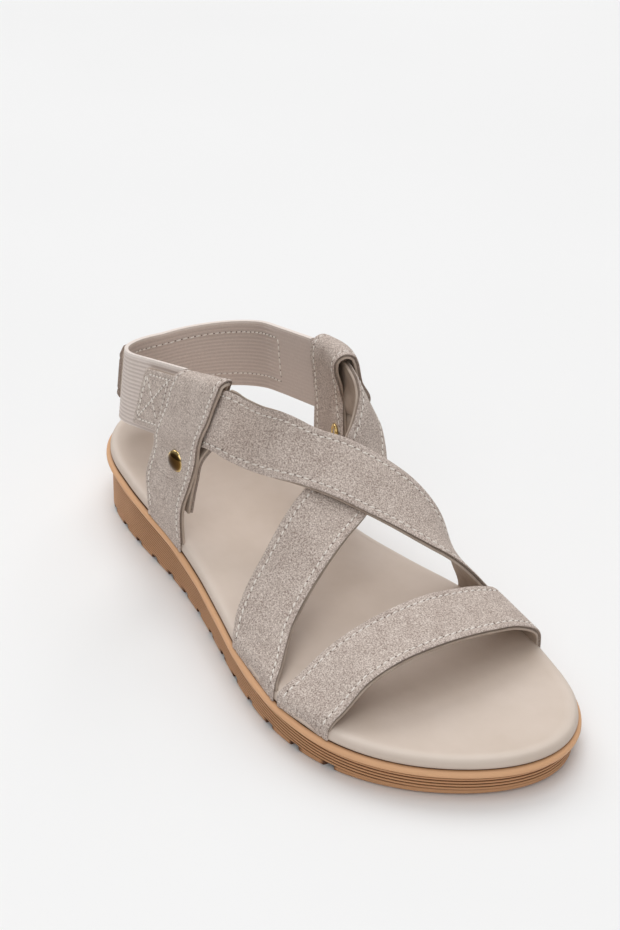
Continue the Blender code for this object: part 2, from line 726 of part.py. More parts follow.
def make_all():
    rubber = material("gum_rubber", (0.42, 0.27, 0.15), 0.6)
    footbed = material("insole_cover", (0.55, 0.42, 0.32), 0.55)
    suede = material("strap_suede", (0.30, 0.26, 0.23), 0.9)
    elastic = material("ribbed_elastic", (0.45, 0.42, 0.40), 0.8)
    felt = material("fastening_fabric", (0.33, 0.30, 0.28), 0.95)
    brass = material("rivet_brass", (0.72, 0.52, 0.26), 0.25, 1.0)

    make_outsole(rubber)
    insole = make_insole(footbed)
    toe = toe_strap_rows()
    over = over_strap_rows()
    under = lie_under(under_strap_rows(), over)
    add_object("toe_strap", *ribbon(toe, STRAP_THICKNESS, -1), suede)
    crossed = add_object("cross_straps", *ribbon(over, STRAP_THICKNESS, -1), suede)
    lower = add_object("under_strap_part", *ribbon(under, STRAP_THICKNESS, 1), suede)
    boolean(crossed, as_tool(lower), "UNION")
    slots = [
        ("toe_slot", ribbon(toe, STRAP_THICKNESS, -1, GAP)),
        ("over_slot", ribbon(over[-8:], STRAP_THICKNESS, -1, GAP)),
        ("under_slot", ribbon(under[-8:], STRAP_THICKNESS, 1, GAP)),
    ]
    for name, shape, side, rows in (("lateral", LATERAL_LOOP, LATERAL, over),
                                    ("medial", MEDIAL_LOOP, MEDIAL, under)):
        grid = loop_grid(shape, side, rows)
        centre = rivet_place(shape, side, rows)
        make_loop(name + "_loop", grid, centre, side, suede)
        make_rivet(name + "_rivet", centre, side, brass)
        slots.append((name + "_slot", sheet_solid(grid[:3], STRAP_THICKNESS, side, GAP)))
    add_object("heel_elastic", *ribbon(elastic_rows(), BAND_THICKNESS, 1), elastic)
    add_object("fastening_patch", *ribbon(patch_rows(), PATCH_THICKNESS, 1), felt)
    for name, (points, faces) in slots:
        boolean(insole, as_tool(add_object(name, points, faces, footbed)), "DIFFERENCE")


remove_all()
make_all()
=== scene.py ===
import math
import random

import bpy
from mathutils import Matrix, Vector
from mathutils.bvhtree import BVHTree


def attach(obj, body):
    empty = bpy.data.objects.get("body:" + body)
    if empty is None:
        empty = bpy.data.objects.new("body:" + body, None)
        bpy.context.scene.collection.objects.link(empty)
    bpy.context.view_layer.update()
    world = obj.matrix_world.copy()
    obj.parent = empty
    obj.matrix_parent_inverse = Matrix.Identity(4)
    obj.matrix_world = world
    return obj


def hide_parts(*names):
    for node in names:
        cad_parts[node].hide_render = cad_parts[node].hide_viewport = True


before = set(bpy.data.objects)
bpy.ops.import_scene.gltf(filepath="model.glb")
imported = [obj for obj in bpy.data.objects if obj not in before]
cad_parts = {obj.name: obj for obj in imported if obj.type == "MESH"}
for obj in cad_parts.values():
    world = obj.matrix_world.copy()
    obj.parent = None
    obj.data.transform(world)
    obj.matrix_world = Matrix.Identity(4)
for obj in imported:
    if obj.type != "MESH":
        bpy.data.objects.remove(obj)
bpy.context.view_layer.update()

# Outsole: one moulded unit of gum rubber with a smooth rounded lip round its top, a wall of
# fine level ribs and cross channels between the tread's lugs. The insole is glued on its
# top. The lip is lighter, with a painted highlight along its crest, and the grooves between
# the ribs hold painted shade.
INSOLE_LENGTH = 0.2468
BALL_WIDTH = 0.0904
HEEL_HEIGHT = 0.0226
TOE_HEIGHT = 0.0090
TOE_SPRING = 0.0010
LIP_REACH = 0.0012
LIP_HEIGHT = 0.0026
WALL_INSET = 0.0010
RIB_PITCH = 0.00105
RIB_DEPTH = 0.00045
PLAIN_EDGE = 0.0010
BOTTOM_ROUND = 0.0007
TREAD_WIDTH = 0.0050
TREAD_DEPTH = 0.0019
TREAD_COUNT = 14
FIRST_TREAD, LAST_TREAD = 0.125, 0.846
SEAT_INSET = 0.0018
PLAIN_TONE = 0.5
GAP = 0.0003
HALF_COUNT = 90

SOLE_SECTIONS = [
    # along, centre, fullness, top
    (0.00, 0.025, 0.600, 1.00),
    (0.10, 0.023, 0.543, 0.94),
    (0.20, 0.010, 0.452, 0.83),
    (0.34, -0.022, 0.358, 0.63),
    (0.45, -0.038, 0.352, 0.50),
    (0.56, -0.035, 0.410, 0.43),
    (0.66, -0.018, 0.499, 0.33),
    (0.76, 0.000, 0.585, 0.21),
    (0.85, 0.019, 0.643, 0.10),
    (0.93, 0.063, 0.690, 0.035),
    (1.00, 0.115, 0.700, 0.00),
]
CENTRE, FULLNESS, TOP = 1, 2, 3
LATERAL, MEDIAL = -1, 1


def read_table(table, column, at):
    """Smooth reading of one column of a table whose first column rises."""
    knots = [row[0] for row in table]
    values = [row[column] for row in table]
    at = min(max(at, knots[0]), knots[-1])
    last = len(knots) - 2
    i = min(max(sum(1 for knot in knots if knot <= at) - 1, 0), last)

    def slope(k):
        low, high = max(k - 1, 0), min(k + 1, len(knots) - 1)
        return (values[high] - values[low]) / (knots[high] - knots[low])

    step = knots[i + 1] - knots[i]
    t = (at - knots[i]) / step
    start = values[i] * (1 + 2 * t) * (1 - t) ** 2 + slope(i) * step * t * (1 - t) ** 2
    end = values[i + 1] * t * t * (3 - 2 * t) + slope(i + 1) * step * t * t * (t - 1)
    return start + end


def along_of(x):
    return x / INSOLE_LENGTH + 0.5


def x_of(along):
    return (along - 0.5) * INSOLE_LENGTH


def spring(along):
    start = SOLE_SECTIONS[-4][0]
    return TOE_SPRING * max(along - start, 0.0) ** 2 / (1.0 - start) ** 2


def sole_top(x):
    """Height of the outsole's top, on which the insole and the straps' feet sit."""
    along = along_of(x)
    top = read_table(SOLE_SECTIONS, TOP, along)
    return TOE_HEIGHT + (HEEL_HEIGHT - TOE_HEIGHT) * top + spring(along)


def side_y(along, side):
    """The insole's edge on one side."""
    along = min(max(along, 0.0), 1.0)
    half = read_table(SOLE_SECTIONS, FULLNESS, along) * 2 * math.sqrt(along * (1 - along))
    return (read_table(SOLE_SECTIONS, CENTRE, along) + side * half) * BALL_WIDTH


def sole_outline(offset):
    """Closed outline, heel to toe on the medial side and back, grown by offset."""
    shares = [(1 - math.cos(math.pi * i / HALF_COUNT)) / 2 for i in range(HALF_COUNT + 1)]
    medial = [Vector((x_of(s), side_y(s, MEDIAL))) for s in shares]
    lateral = [Vector((x_of(s), side_y(s, LATERAL))) for s in shares[-2:0:-1]]
    ring = medial + lateral
    grown = []
    for i, point in enumerate(ring):
        run = ring[(i + 1) % len(ring)] - ring[i - 1]
        grown.append(point + Vector((-run.y, run.x)).normalized() * offset)
    return grown


def linear(shade):
    """A sRGB hex colour as linear red, green, blue and alpha."""
    values = [int(shade[i:i + 2], 16) / 255 for i in (1, 3, 5)]
    return [v / 12.92 if v <= 0.04045 else ((v + 0.055) / 1.055) ** 2.4 for v in values] + [1.0]


def add_node(tree, kind, settings, links=(), stops=()):
    """Adds a node. Settings name its inputs or its own choices, links are (input, output)
    pairs, and stops are the rising (place, hex shade) pairs of a colour ramp."""
    node = tree.nodes.new(kind)
    for k, (place, shade) in enumerate(stops):
        marks = node.color_ramp.elements
        mark = marks[k] if k < 2 else marks.new(place)
        mark.position, mark.color = place, linear(shade)
    for name, value in settings.items():
        if isinstance(name, int) or name in node.inputs:
            node.inputs[name].default_value = value
        else:
            setattr(node, name, value)
    for name, output in links:
        tree.links.new(output, node.inputs[name])
    return node


def new_finish(name, roughness, specular=0.5):
    """A material with its node tree and its shader."""
    finish = bpy.data.materials.new(name)
    finish.use_nodes = True
    shader = finish.node_tree.nodes["Principled BSDF"]
    shader.inputs["Roughness"].default_value = roughness
    shader.inputs["Specular IOR Level"].default_value = specular
    return finish, finish.node_tree, shader


def colour_in(tree, shader, factor, stops, height=None, strength=0.0, distance=0.0):
    """Gives a shader its shades by a factor, and its relief by a height."""
    ramp = add_node(tree, "ShaderNodeValToRGB", {}, [("Fac", factor)], stops)
    tree.links.new(ramp.outputs["Color"], shader.inputs["Base Color"])
    if height:
        bump = add_node(tree, "ShaderNodeBump", {"Strength": strength, "Distance": distance},
                        [("Height", height)])
        tree.links.new(bump.outputs["Normal"], shader.inputs["Normal"])


def lay_sheet(name, rows, finish):
    """A flat grid with its points laid on the given rows."""
    bpy.ops.object.select_all(action="DESELECT")
    bpy.ops.mesh.primitive_grid_add(x_subdivisions=len(rows[0]) - 1, y_subdivisions=len(rows) - 1)
    sheet = bpy.context.object
    sheet.name = sheet.data.name = name
    sheet.location = (0.0, 0.0, 0.0)
    sheet.data.vertices.foreach_set("co", [c for row in rows for p in row for c in p])
    sheet.data.materials.append(finish)
    return sheet


def mark_points(piece, name, values):
    """Keeps one number at each point of a piece for its material to read."""
    piece.data.attributes.new(name, "FLOAT", "POINT").data.foreach_set("value", values)


def select_only(*pieces):
    """Selects these pieces alone, the first one active."""
    bpy.ops.object.select_all(action="DESELECT")
    for piece in pieces:
        piece.select_set(True)
    bpy.context.view_layer.objects.active = pieces[0]


def join_pieces(pieces, close=False):
    """Joins pieces into one that faces out. close melts their common points together, into
    one closed skin."""
    select_only(*pieces)
    if len(pieces) > 1:
        bpy.ops.object.join()
    bpy.ops.object.mode_set(mode="EDIT")
    bpy.ops.mesh.select_all(action="SELECT")
    if close:
        bpy.ops.mesh.remove_doubles(threshold=0.00002)
        bpy.ops.mesh.dissolve_degenerate(threshold=0.00001)
    bpy.ops.mesh.normals_make_consistent(inside=False)
    bpy.ops.object.mode_set(mode="OBJECT")
    return pieces[0]


def apply_modifier(piece, kind, **settings):
    select_only(piece)
    modifier = piece.modifiers.new(kind.title(), kind)
    for name, value in settings.items():
        setattr(modifier, name, value)
    bpy.ops.object.modifier_apply(modifier=modifier.name)


def smooth_faces(piece, degrees):
    select_only(piece)
    bpy.ops.object.shade_smooth_by_angle(angle=math.radians(degrees))


def hand_over(piece, slot, *nodes):
    """Fixes a finished piece to the shoe, in the place of the named solids."""
    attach(piece, "root")
    if nodes:
        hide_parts(*nodes)


def stack_rings(name, rings, tones, finish):
    """A skin over closed rings of one count, capped at both ends."""
    wall = lay_sheet(name, [ring + ring[:1] for ring in rings], finish)
    marks = []
    for ring, tone in zip(rings, tones):
        shades = tone if isinstance(tone, list) else [tone] * len(ring)
        marks += shades + shades[:1]
    mark_points(wall, "tone", marks)
    pieces = [wall]
    count = len(rings[0])
    for ring, tone in ((rings[0], tones[0]), (rings[-1], tones[-1])):
        cap = lay_sheet(name + "_cap", [[ring[i], ring[-i]] for i in range(count // 2 + 1)], finish)
        mark_points(cap, "tone", [tone] * len(cap.data.vertices))
        pieces.append(cap)
    return join_pieces(pieces, close=True)


# Gum rubber, moulded: satin and dull, warm tan, lighter on the lip with a painted highlight, and
# darker with painted shade in its grooves.
rubber, tree, shader = new_finish("moulded gum rubber", 0.55, 0.35)
coords = add_node(tree, "ShaderNodeTexCoord", {})
tone = add_node(tree, "ShaderNodeAttribute", {"attribute_name": "tone"})
cloud = add_node(tree, "ShaderNodeTexNoise", {"Scale": 1 / 0.020, "Detail": 3.0},
                 [("Vector", coords.outputs["Object"])])
worn = add_node(tree, "ShaderNodeMath", {"operation": "MULTIPLY_ADD", 1: 0.22, 2: -0.11},
                [(0, cloud.outputs["Fac"])])
shaded = add_node(tree, "ShaderNodeMath", {"operation": "ADD"},
                  [(0, tone.outputs["Fac"]), (1, worn.outputs["Value"])])
pits = add_node(tree, "ShaderNodeTexNoise", {"Scale": 1 / 0.0006, "Detail": 2.0},
                [("Vector", coords.outputs["Object"])])
# the tone's low end is painted shade in the grooves, under the lip and in its seat; its high end is
# a painted highlight on the lip's crest
colour_in(tree, shader, shaded.outputs["Value"],
          [(0.0, "#64402a"), (0.42, "#c6946b"), (0.62, "#d2a279"), (0.95, "#e4b287")],
          pits.outputs["Fac"], 0.25, 0.0002)

ridge = sole_outline(-WALL_INSET)
valley = sole_outline(-WALL_INSET - RIB_DEPTH)
bottoms = [spring(along_of(p.x)) for p in ridge]
tops = [sole_top(p.x) for p in ridge]
under_lip = [top - LIP_HEIGHT for top in tops]
low = [bottom + PLAIN_EDGE for bottom in bottoms]


def level_ring(offset, heights):
    return [Vector((*p, z)) for p, z in zip(sole_outline(offset), heights)]


rings = [level_ring(-WALL_INSET - BOTTOM_ROUND, bottoms),
         level_ring(-WALL_INSET - BOTTOM_ROUND * 0.3, [z + BOTTOM_ROUND * 0.3 for z in bottoms]),
         level_ring(-WALL_INSET, [z + BOTTOM_ROUND for z in bottoms]),
         level_ring(-WALL_INSET, low)]
# the bottom round is a little darker, with painted shade
tones = [0.4, 0.45, PLAIN_TONE, PLAIN_TONE]
# the groove's tone of 0.0 is painted shade
RIB_PROFILE = [
    # share of the pitch under the rib's top, outline, tone: into the groove, out, over the ridge
    (0.96, valley, 0.0),
    (0.68, valley, 0.0),
    (0.56, ridge, 0.55),
    (0.08, ridge, 0.55),
]
tallest = max(high - start for high, start in zip(under_lip, low))
for rib in range(int(tallest / RIB_PITCH), -1, -1):
    for share, wall, rib_tone in RIB_PROFILE:
        level, level_tones = [], []
        for p, plain, high, start in zip(wall, ridge, under_lip, low):
            z = high - (rib + share) * RIB_PITCH
            depth = min(max((z - start) / RIB_PITCH, 0.0), 1.0)
            level.append(Vector((*plain.lerp(p, depth), max(z, start))))
            level_tones.append(PLAIN_TONE + (rib_tone - PLAIN_TONE) * depth)
        rings.append(level)
        tones.append(level_tones)
# the lip's tones paint shade under its overhang and in its inner side, and a highlight along its
# crest
LIP_PROFILE = [
    # share of the lip's height, share of its reach, tone
    (0.00, -0.80, 0.15),
    (0.10, 0.30, 0.70),
    (0.25, 0.86, 0.74),
    (0.45, 1.00, 0.88),
    (0.65, 0.96, 1.05),
    (0.82, 0.70, 1.05),
    (0.94, 0.30, 0.80),
    (1.00, -0.20, 0.60),
    (0.99, -0.50, 0.05),
]
for height, reach, lip_tone in LIP_PROFILE:
    rings.append(level_ring(LIP_REACH * reach, [z + LIP_HEIGHT * height for z in under_lip]))
    tones.append(lip_tone)
# the seat under the insole's edge is darkened with painted shade
rings.append(level_ring(-SEAT_INSET, tops))
tones.append(-0.2)
outsole = stack_rings("gum_rubber_outsole", rings, tones, rubber)

# The channels are cut with one wedge block, copied along the tread.
channels = []
for k in range(TREAD_COUNT):
    bpy.ops.object.select_all(action="DESELECT")
    bpy.ops.mesh.primitive_cube_add(size=1.0)
    channel = bpy.context.object
    x = x_of(FIRST_TREAD + (LAST_TREAD - FIRST_TREAD) * k / (TREAD_COUNT - 1))
    for v in channel.data.vertices:
        half = TREAD_WIDTH / (3 if v.co.z > 0 else 2)
        v.co = (x + math.copysign(half, v.co.x), math.copysign(BALL_WIDTH, v.co.y),
                math.copysign(TREAD_DEPTH, v.co.z))
    channels.append(channel)
cutter = channels[0]
select_only(*channels)
bpy.ops.object.join()
apply_modifier(outsole, "BOOLEAN", object=cutter, operation="DIFFERENCE", solver="EXACT")
bpy.data.objects.remove(cutter)
smooth_faces(outsole, 38)
hand_over(outsole, "outsole", "outsole")

# Insole: a thin foam footbed under a smooth beige cover of split leather, whose edge is
# wrapped down round the foam. A painted highlight lightens the cover along the rim's bend,
# and painted shade darkens its tucked foot. It is cupped at the heel, lifted at the arch,
# and the straps' feet go down between it and the lip.
INSOLE_THICKNESS = 0.0034
SIDE_SETBACK = 0.0006
SETBACK_END, SETBACK_FADE = 0.92, 0.17
TOE_TUCK_SHADE = 0.4
HEEL_CUP = 0.0016
FOREFOOT_DISH = 0.0005
ARCH_LIFT = 0.0016
# The rim's tones: negative ones are painted shade with glue under the rim, positive ones a painted
# highlight along its bend.
INSOLE_RIM = [
    # inset, share of the thickness, tone
    (0.0008, 0.00, -1.0),
    (0.0000, 0.08, -0.9),
    (-0.0001, 0.16, -0.3),
    (0.0000, 0.30, 0.0),
    (0.0002, 0.56, 0.1),
    (0.0007, 0.78, 0.25),
    (0.0015, 0.92, 0.4),
    (0.0027, 1.00, 0.2),
]
INSOLE_FACE = (0.03, 0.07, 0.13, 0.22, 0.34, 0.48, 0.62, 0.76, 0.90)  # shares of the way in
FACE_EDGE_HIGHLIGHT = 0.1


def insole_top(x, y, inward):
    """Height of the insole's face, at a share of the way in from its edge."""
    along = along_of(x)
    cup = HEEL_CUP * max(0.0, 1 - along / 0.36)
    dish = FOREFOOT_DISH * min(1.0, along / 0.36)
    hump = math.exp(-((along - 0.40) / 0.13) ** 2)
    medial = (y - side_y(along, LATERAL)) / (side_y(along, MEDIAL) - side_y(along, LATERAL))
    arch = ARCH_LIFT * hump * max(medial - 0.4, 0.0)
    depth = (cup + dish) * math.sin(math.pi / 2 * inward)
    return sole_top(x) + GAP + INSOLE_THICKNESS - depth + arch


# Split leather with a smooth pressed face: even beige with faint clouds, a low gloss and a
# fine grain. The grain is drawn coarser than life, at 0.5 mm, so that it shows.
cover, tree, shader = new_finish("pressed split leather", 0.5, 0.35)
coords = add_node(tree, "ShaderNodeTexCoord", {})
tone = add_node(tree, "ShaderNodeAttribute", {"attribute_name": "tone"})
cloud = add_node(tree, "ShaderNodeTexNoise", {"Scale": 1 / 0.030, "Detail": 4.0, "Roughness": 0.6},
                 [("Vector", coords.outputs["Object"])])
base = add_node(tree, "ShaderNodeValToRGB", {}, [("Fac", cloud.outputs["Fac"])],
                [(0.30, "#d0bfb0"), (0.70, "#dacabd")])
# the rim's tone mixes in a painted highlight
mixed = add_node(tree, "ShaderNodeMix", {"data_type": "RGBA", 7: linear("#ebdfd4")},
                 [(0, tone.outputs["Fac"]), (6, base.outputs["Color"])])
# below the rim, where the cover is tucked under, glue and painted shade darken it
glue_and_shade = add_node(tree, "ShaderNodeMath", {"operation": "MULTIPLY", 1: -1.0},
                  [(0, tone.outputs["Fac"])])
shaded = add_node(tree, "ShaderNodeMix", {"data_type": "RGBA", 7: linear("#4a3526")},
                  [(0, glue_and_shade.outputs["Value"]), (6, mixed.outputs[2])])
tree.links.new(shaded.outputs[2], shader.inputs["Base Color"])
grain = add_node(tree, "ShaderNodeTexVoronoi", {"Scale": 1 / 0.0005, "feature": "F1"},
                 [("Vector", coords.outputs["Object"])])
waves = add_node(tree, "ShaderNodeTexNoise", {"Scale": 1 / 0.007, "Detail": 2.0},
                 [("Vector", coords.outputs["Object"])])
fine = add_node(tree, "ShaderNodeBump", {"Strength": 0.10, "Distance": 0.0001},
                [("Height", grain.outputs["Distance"])])
bump = add_node(tree, "ShaderNodeBump", {"Strength": 0.25, "Distance": 0.0008},
                [("Height", waves.outputs["Fac"]), ("Normal", fine.outputs["Normal"])])
tree.links.new(bump.outputs["Normal"], shader.inputs["Normal"])

rings, tones = [], []
for inset, share, rim_tone in INSOLE_RIM:
    # the foot of the rim stands back from the lip along the sides, and touches it at the toe
    edge, ring, ring_tones = sole_outline(-inset), [], []
    for p, set_back in zip(edge, sole_outline(-inset - SIDE_SETBACK * (1 - share))):
        open_side = min(max((SETBACK_END - along_of(p.x)) / SETBACK_FADE, 0.0), 1.0)
        tuck = TOE_TUCK_SHADE + (1 - TOE_TUCK_SHADE) * open_side
        height = sole_top(p.x) + GAP + INSOLE_THICKNESS * share
        ring.append(Vector((*p.lerp(set_back, open_side), height)))
        ring_tones.append(rim_tone if rim_tone > 0 else rim_tone * tuck)
    rings.append(ring)
    tones.append(ring_tones)
tones[0] = -0.7  # the underside takes one tone of painted shade
edge = rings[-1]
for inward in INSOLE_FACE:
    ring = []
    for p in edge:
        along = min(max(along_of(p.x), 0.10), 0.90)
        middle = (side_y(along, MEDIAL) + side_y(along, LATERAL)) / 2
        x = p.x + (x_of(along) - p.x) * inward
        y = p.y + (middle - p.y) * inward
        ring.append(Vector((x, y, insole_top(x, y, inward))))
    rings.append(ring)
    tones.append(FACE_EDGE_HIGHLIGHT if inward == INSOLE_FACE[0] else 0.0)
insole = stack_rings("padded_insole", rings, tones, cover)
smooth_faces(insole, 60)
hand_over(insole, "insole", "insole")

# Toe strap: a band of suede backed with a thin lining, its two cut edges left raw and sewn
# together by a row of thread 2.5 mm in from each edge. Both ends go down past the insole's
# edge and are glued under it.
SUEDE_THICKNESS = 0.00115
LINING_THICKNESS = 0.0008
STRAP_THICKNESS = 0.0020
RISE_UNIT = 0.0700
FOOT_PROUD = 0.0004
SEAM_INSET = 0.0025
STITCH_PITCH = 0.0026
STITCH_LENGTH = 0.00195
STITCH_WIDTH = 0.00060
STITCH_RISE = 0.00026
STITCH_LIFT = 0.00010
STITCH_SINK = 0.0010
STITCH_SLANT, SLANT_SPREAD = 0.13, 0.07
STITCH_STRAY = 0.00008
HOLE_WIDTH = 0.00050
HOLE_LENGTH = HOLE_WIDTH * 1.2
HOLE_RISE = 0.00012
HOLE_LIFT = 0.00002
SEAM_END = 0.004
SEAM_SINK = 0.00022
GLUE_LINE = 0.00005
SUEDE_ROUNDING = 0.00018
LINING_ROUNDING = 0.00012
LINING_INSET = 0.00012

TOE_STRAP = [
    # rear edge: along, across, up; front edge: along, across, up
    (0.755, -0.409, 0.118, 0.846, -0.374, 0.136),
    (0.751, -0.306, 0.193, 0.842, -0.285, 0.220),
    (0.749, -0.196, 0.250, 0.840, -0.183, 0.267),
    (0.747, -0.030, 0.298, 0.836, -0.008, 0.287),
    (0.741, 0.135, 0.299, 0.831, 0.154, 0.273),
    (0.739, 0.256, 0.280, 0.828, 0.261, 0.253),
    (0.737, 0.370, 0.246, 0.825, 0.372, 0.222),
    (0.731, 0.456, 0.180, 0.821, 0.466, 0.150),
]
TOE_STRAP_FEET = ((0.761, 0.849), (0.730, 0.814))
STRAP_FACE = [
    # distance in from an edge, relief: the edge is rounded off and the seam pulls the face down
    (0.0000, -0.00030),
    (0.0002, -0.00012),
    (0.0006, 0.0),
    (0.0016, 0.0),
    (0.0021, -0.00012),
    (0.0025, -0.00024),
    (0.0029, -0.00012),
    (0.0036, 0.0),
]
LINING_FACE = [
    (0.0, 0.0),
    (0.0030, 0.0),
]
FACE_MIDDLES = (0.2, 0.4, 0.6, 0.8)

random.seed(38)


def place(along, across, up):
    x = x_of(along)
    return Vector((x, across * BALL_WIDTH, sole_top(x) + up * RISE_UNIT))


def table_rows(table):
    return [[place(*row[:3]), place(*row[3:])] for row in table]


def foot_rows(alongs, side):
    """Where a strap runs straight down past the insole's edge: its shoulder, then its end."""
    rows = []
    for rise in (INSOLE_THICKNESS + GAP, 0.0):
        pair = []
        for along in alongs:
            y = side_y(along, side) + side * FOOT_PROUD
            pair.append(Vector((x_of(along), y, sole_top(x_of(along)) + GAP + rise)))
        rows.append(pair)
    return rows


def smooth_rows(rows, stations):
    """Evenly spaced rows on a smooth course through the given ones."""
    count = len(rows[0])
    middles = [sum(row, Vector()) / count for row in rows]
    knots = [0.0]
    for near, far in zip(middles, middles[1:]):
        knots.append(knots[-1] + (far - near).length)
    last = len(rows) - 1

    def slope(column, i):
        if i == 0 or i == last:
            near = min(i, last - 1)
            return (rows[near + 1][column] - rows[near][column]) / (knots[near + 1] - knots[near])
        before, after = knots[i] - knots[i - 1], knots[i + 1] - knots[i]
        into = (rows[i][column] - rows[i - 1][column]) / before
        out_of = (rows[i + 1][column] - rows[i][column]) / after
        return (into * after + out_of * before) / (before + after)

    smooth = []
    for k in range(stations + 1):
        want = knots[-1] * k / stations
        i = min(sum(1 for knot in knots[1:] if knot <= want), last - 1)
        step = knots[i + 1] - knots[i]
        t = (want - knots[i]) / step
        row = []
        for column in range(count):
            start = rows[i][column] * (1 + 2 * t) + slope(column, i) * step * t
            end = rows[i + 1][column] * (3 - 2 * t) + slope(column, i + 1) * step * (t - 1)
            row.append(start * (1 - t) ** 2 + end * t * t)
        smooth.append(row)
    return smooth


def point_across(row, distance):
    """The point at a distance from a row's first point, or from its last where negative."""
    points = row if distance >= 0 else row[::-1]
    left = abs(distance)
    for near, far in zip(points, points[1:]):
        length = (far - near).length
        if left <= length:
            return near.lerp(far, left / length)
        left -= length
    return points[-1].copy()


def facing(rows, i, point_line, outward):
    """Which way the strap's outer face looks at one row."""
    low, high = max(i - 1, 0), min(i + 1, len(rows) - 1)
    forward = point_line[high] - point_line[low]
    return forward.cross(rows[i][-1] - rows[i][0]).normalized() * outward


def cut_face(rows, outward, depth, edges, inset):
    """Points of a strap's face at a depth under its outer face, with the edges' relief."""
    columns = [(("near", d), relief) for d, relief in edges]
    columns += [(("share", s), 0.0) for s in FACE_MIDDLES]
    columns += [(("far", d), relief) for d, relief in edges[::-1]]
    lines = []
    for (kind, value), relief in columns:
        line = []
        for row in rows:
            width = sum((b - a).length for a, b in zip(row, row[1:]))
            margin = edges[-1][0] + inset
            if kind == "near":
                distance = value + inset
            elif kind == "far":
                distance = width - value - inset
            else:
                distance = margin + (width - 2 * margin) * value
            line.append(point_across(row, distance))
        lines.append([p + facing(rows, i, line, outward) * (relief - depth)
                      for i, p in enumerate(line)])
    face = [list(row) for row in zip(*lines)]
    return [row[::-1] for row in face] if outward > 0 else face


def cut_ply(name, rows, outward, depth, thickness, edges, finish, edge_finish,
            inset=0.0, rounding=SUEDE_ROUNDING):
    """One ply of a strap: its face, thickened inwards, with its cut edges eased."""
    ply = lay_sheet(name, cut_face(rows, outward, depth, edges, inset), finish)
    ply.data.materials.append(edge_finish)
    apply_modifier(ply, "SOLIDIFY", thickness=thickness, offset=-1.0, material_offset_rim=1)
    apply_modifier(ply, "BEVEL", width=rounding, segments=2, limit_method="ANGLE",
                   angle_limit=math.radians(60))
    smooth_faces(ply, 45)
    return ply


def seam_line(rows, distance, outward):
    """(point, facing) pairs along a seam at a distance in from an edge."""
    line = [point_across(row, distance) for row in rows]
    pairs = []
    for i, p in enumerate(line):
        face = facing(rows, i, line, outward)
        pairs.append((p - face * SEAM_SINK, face))
    return pairs


def along_seam(line, pitch, start, end):
    """Places at even steps on a seam, as matrices: X along it and Z out of the face."""
    lengths = [0.0]
    for (near, _), (far, _) in zip(line, line[1:]):
        lengths.append(lengths[-1] + (far - near).length)
    count = max(int((lengths[-1] - start - end) / pitch), 1)
    places = []
    i = 0
    for k in range(count):
        want = start + (k + 0.5) * pitch
        while i < len(lengths) - 2 and lengths[i + 1] < want:
            i += 1
        t = (want - lengths[i]) / max(lengths[i + 1] - lengths[i], 1e-9)
        point = line[i][0].lerp(line[i + 1][0], t)
        face = line[i][1].lerp(line[i + 1][1], t).normalized()
        run = (line[i + 1][0] - line[i][0]).normalized()
        side = face.cross(run).normalized()
        turn = STITCH_SLANT + random.uniform(-SLANT_SPREAD, SLANT_SPREAD)
        run = (run + side * turn).normalized()
        side = face.cross(run).normalized()
        point = point + side * random.uniform(-STITCH_STRAY, STITCH_STRAY)
        turned = Matrix((run, side, face)).transposed().to_4x4()
        places.append(Matrix.Translation(point) @ turned)
    return places


def one_stitch(finish, hole_shade_finish):
    """A short rounded length of thread, its ends dipping, and after it a dark spot of painted shade
    for its needle hole.
    """
    bpy.ops.object.select_all(action="DESELECT")
    bpy.ops.mesh.primitive_uv_sphere_add(segments=8, ring_count=7, radius=0.5)
    thread = bpy.context.object
    for v in thread.data.vertices:
        # the sphere's poles point along the seam
        x, y, z = v.co.z, v.co.y, v.co.x
        height = z * 2 * STITCH_RISE + STITCH_LIFT - STITCH_SINK * abs(x) ** 3
        v.co = (x * STITCH_LENGTH, y * STITCH_WIDTH, height)
    thread.data.materials.append(finish)
    bpy.ops.mesh.primitive_uv_sphere_add(segments=8, ring_count=4, radius=0.5)
    hole = bpy.context.object
    for v in hole.data.vertices:
        v.co = (v.co.x * HOLE_LENGTH + STITCH_PITCH / 2, v.co.y * HOLE_WIDTH,
                v.co.z * HOLE_RISE + HOLE_LIFT)
    hole.data.materials.append(hole_shade_finish)
    return join_pieces([thread, hole])


def sew(name, places, stitch):
    """Copies the stitch to each place and joins the copies to one seam."""
    copies = []
    for spot in places:
        mesh = stitch.data.copy()
        mesh.transform(spot)
        copy = bpy.data.objects.new(name, mesh)
        bpy.context.collection.objects.link(copy)
        copies.append(copy)
    seam = join_pieces(copies)
    seam.data.name = name
    smooth_faces(seam, 80)
    return seam


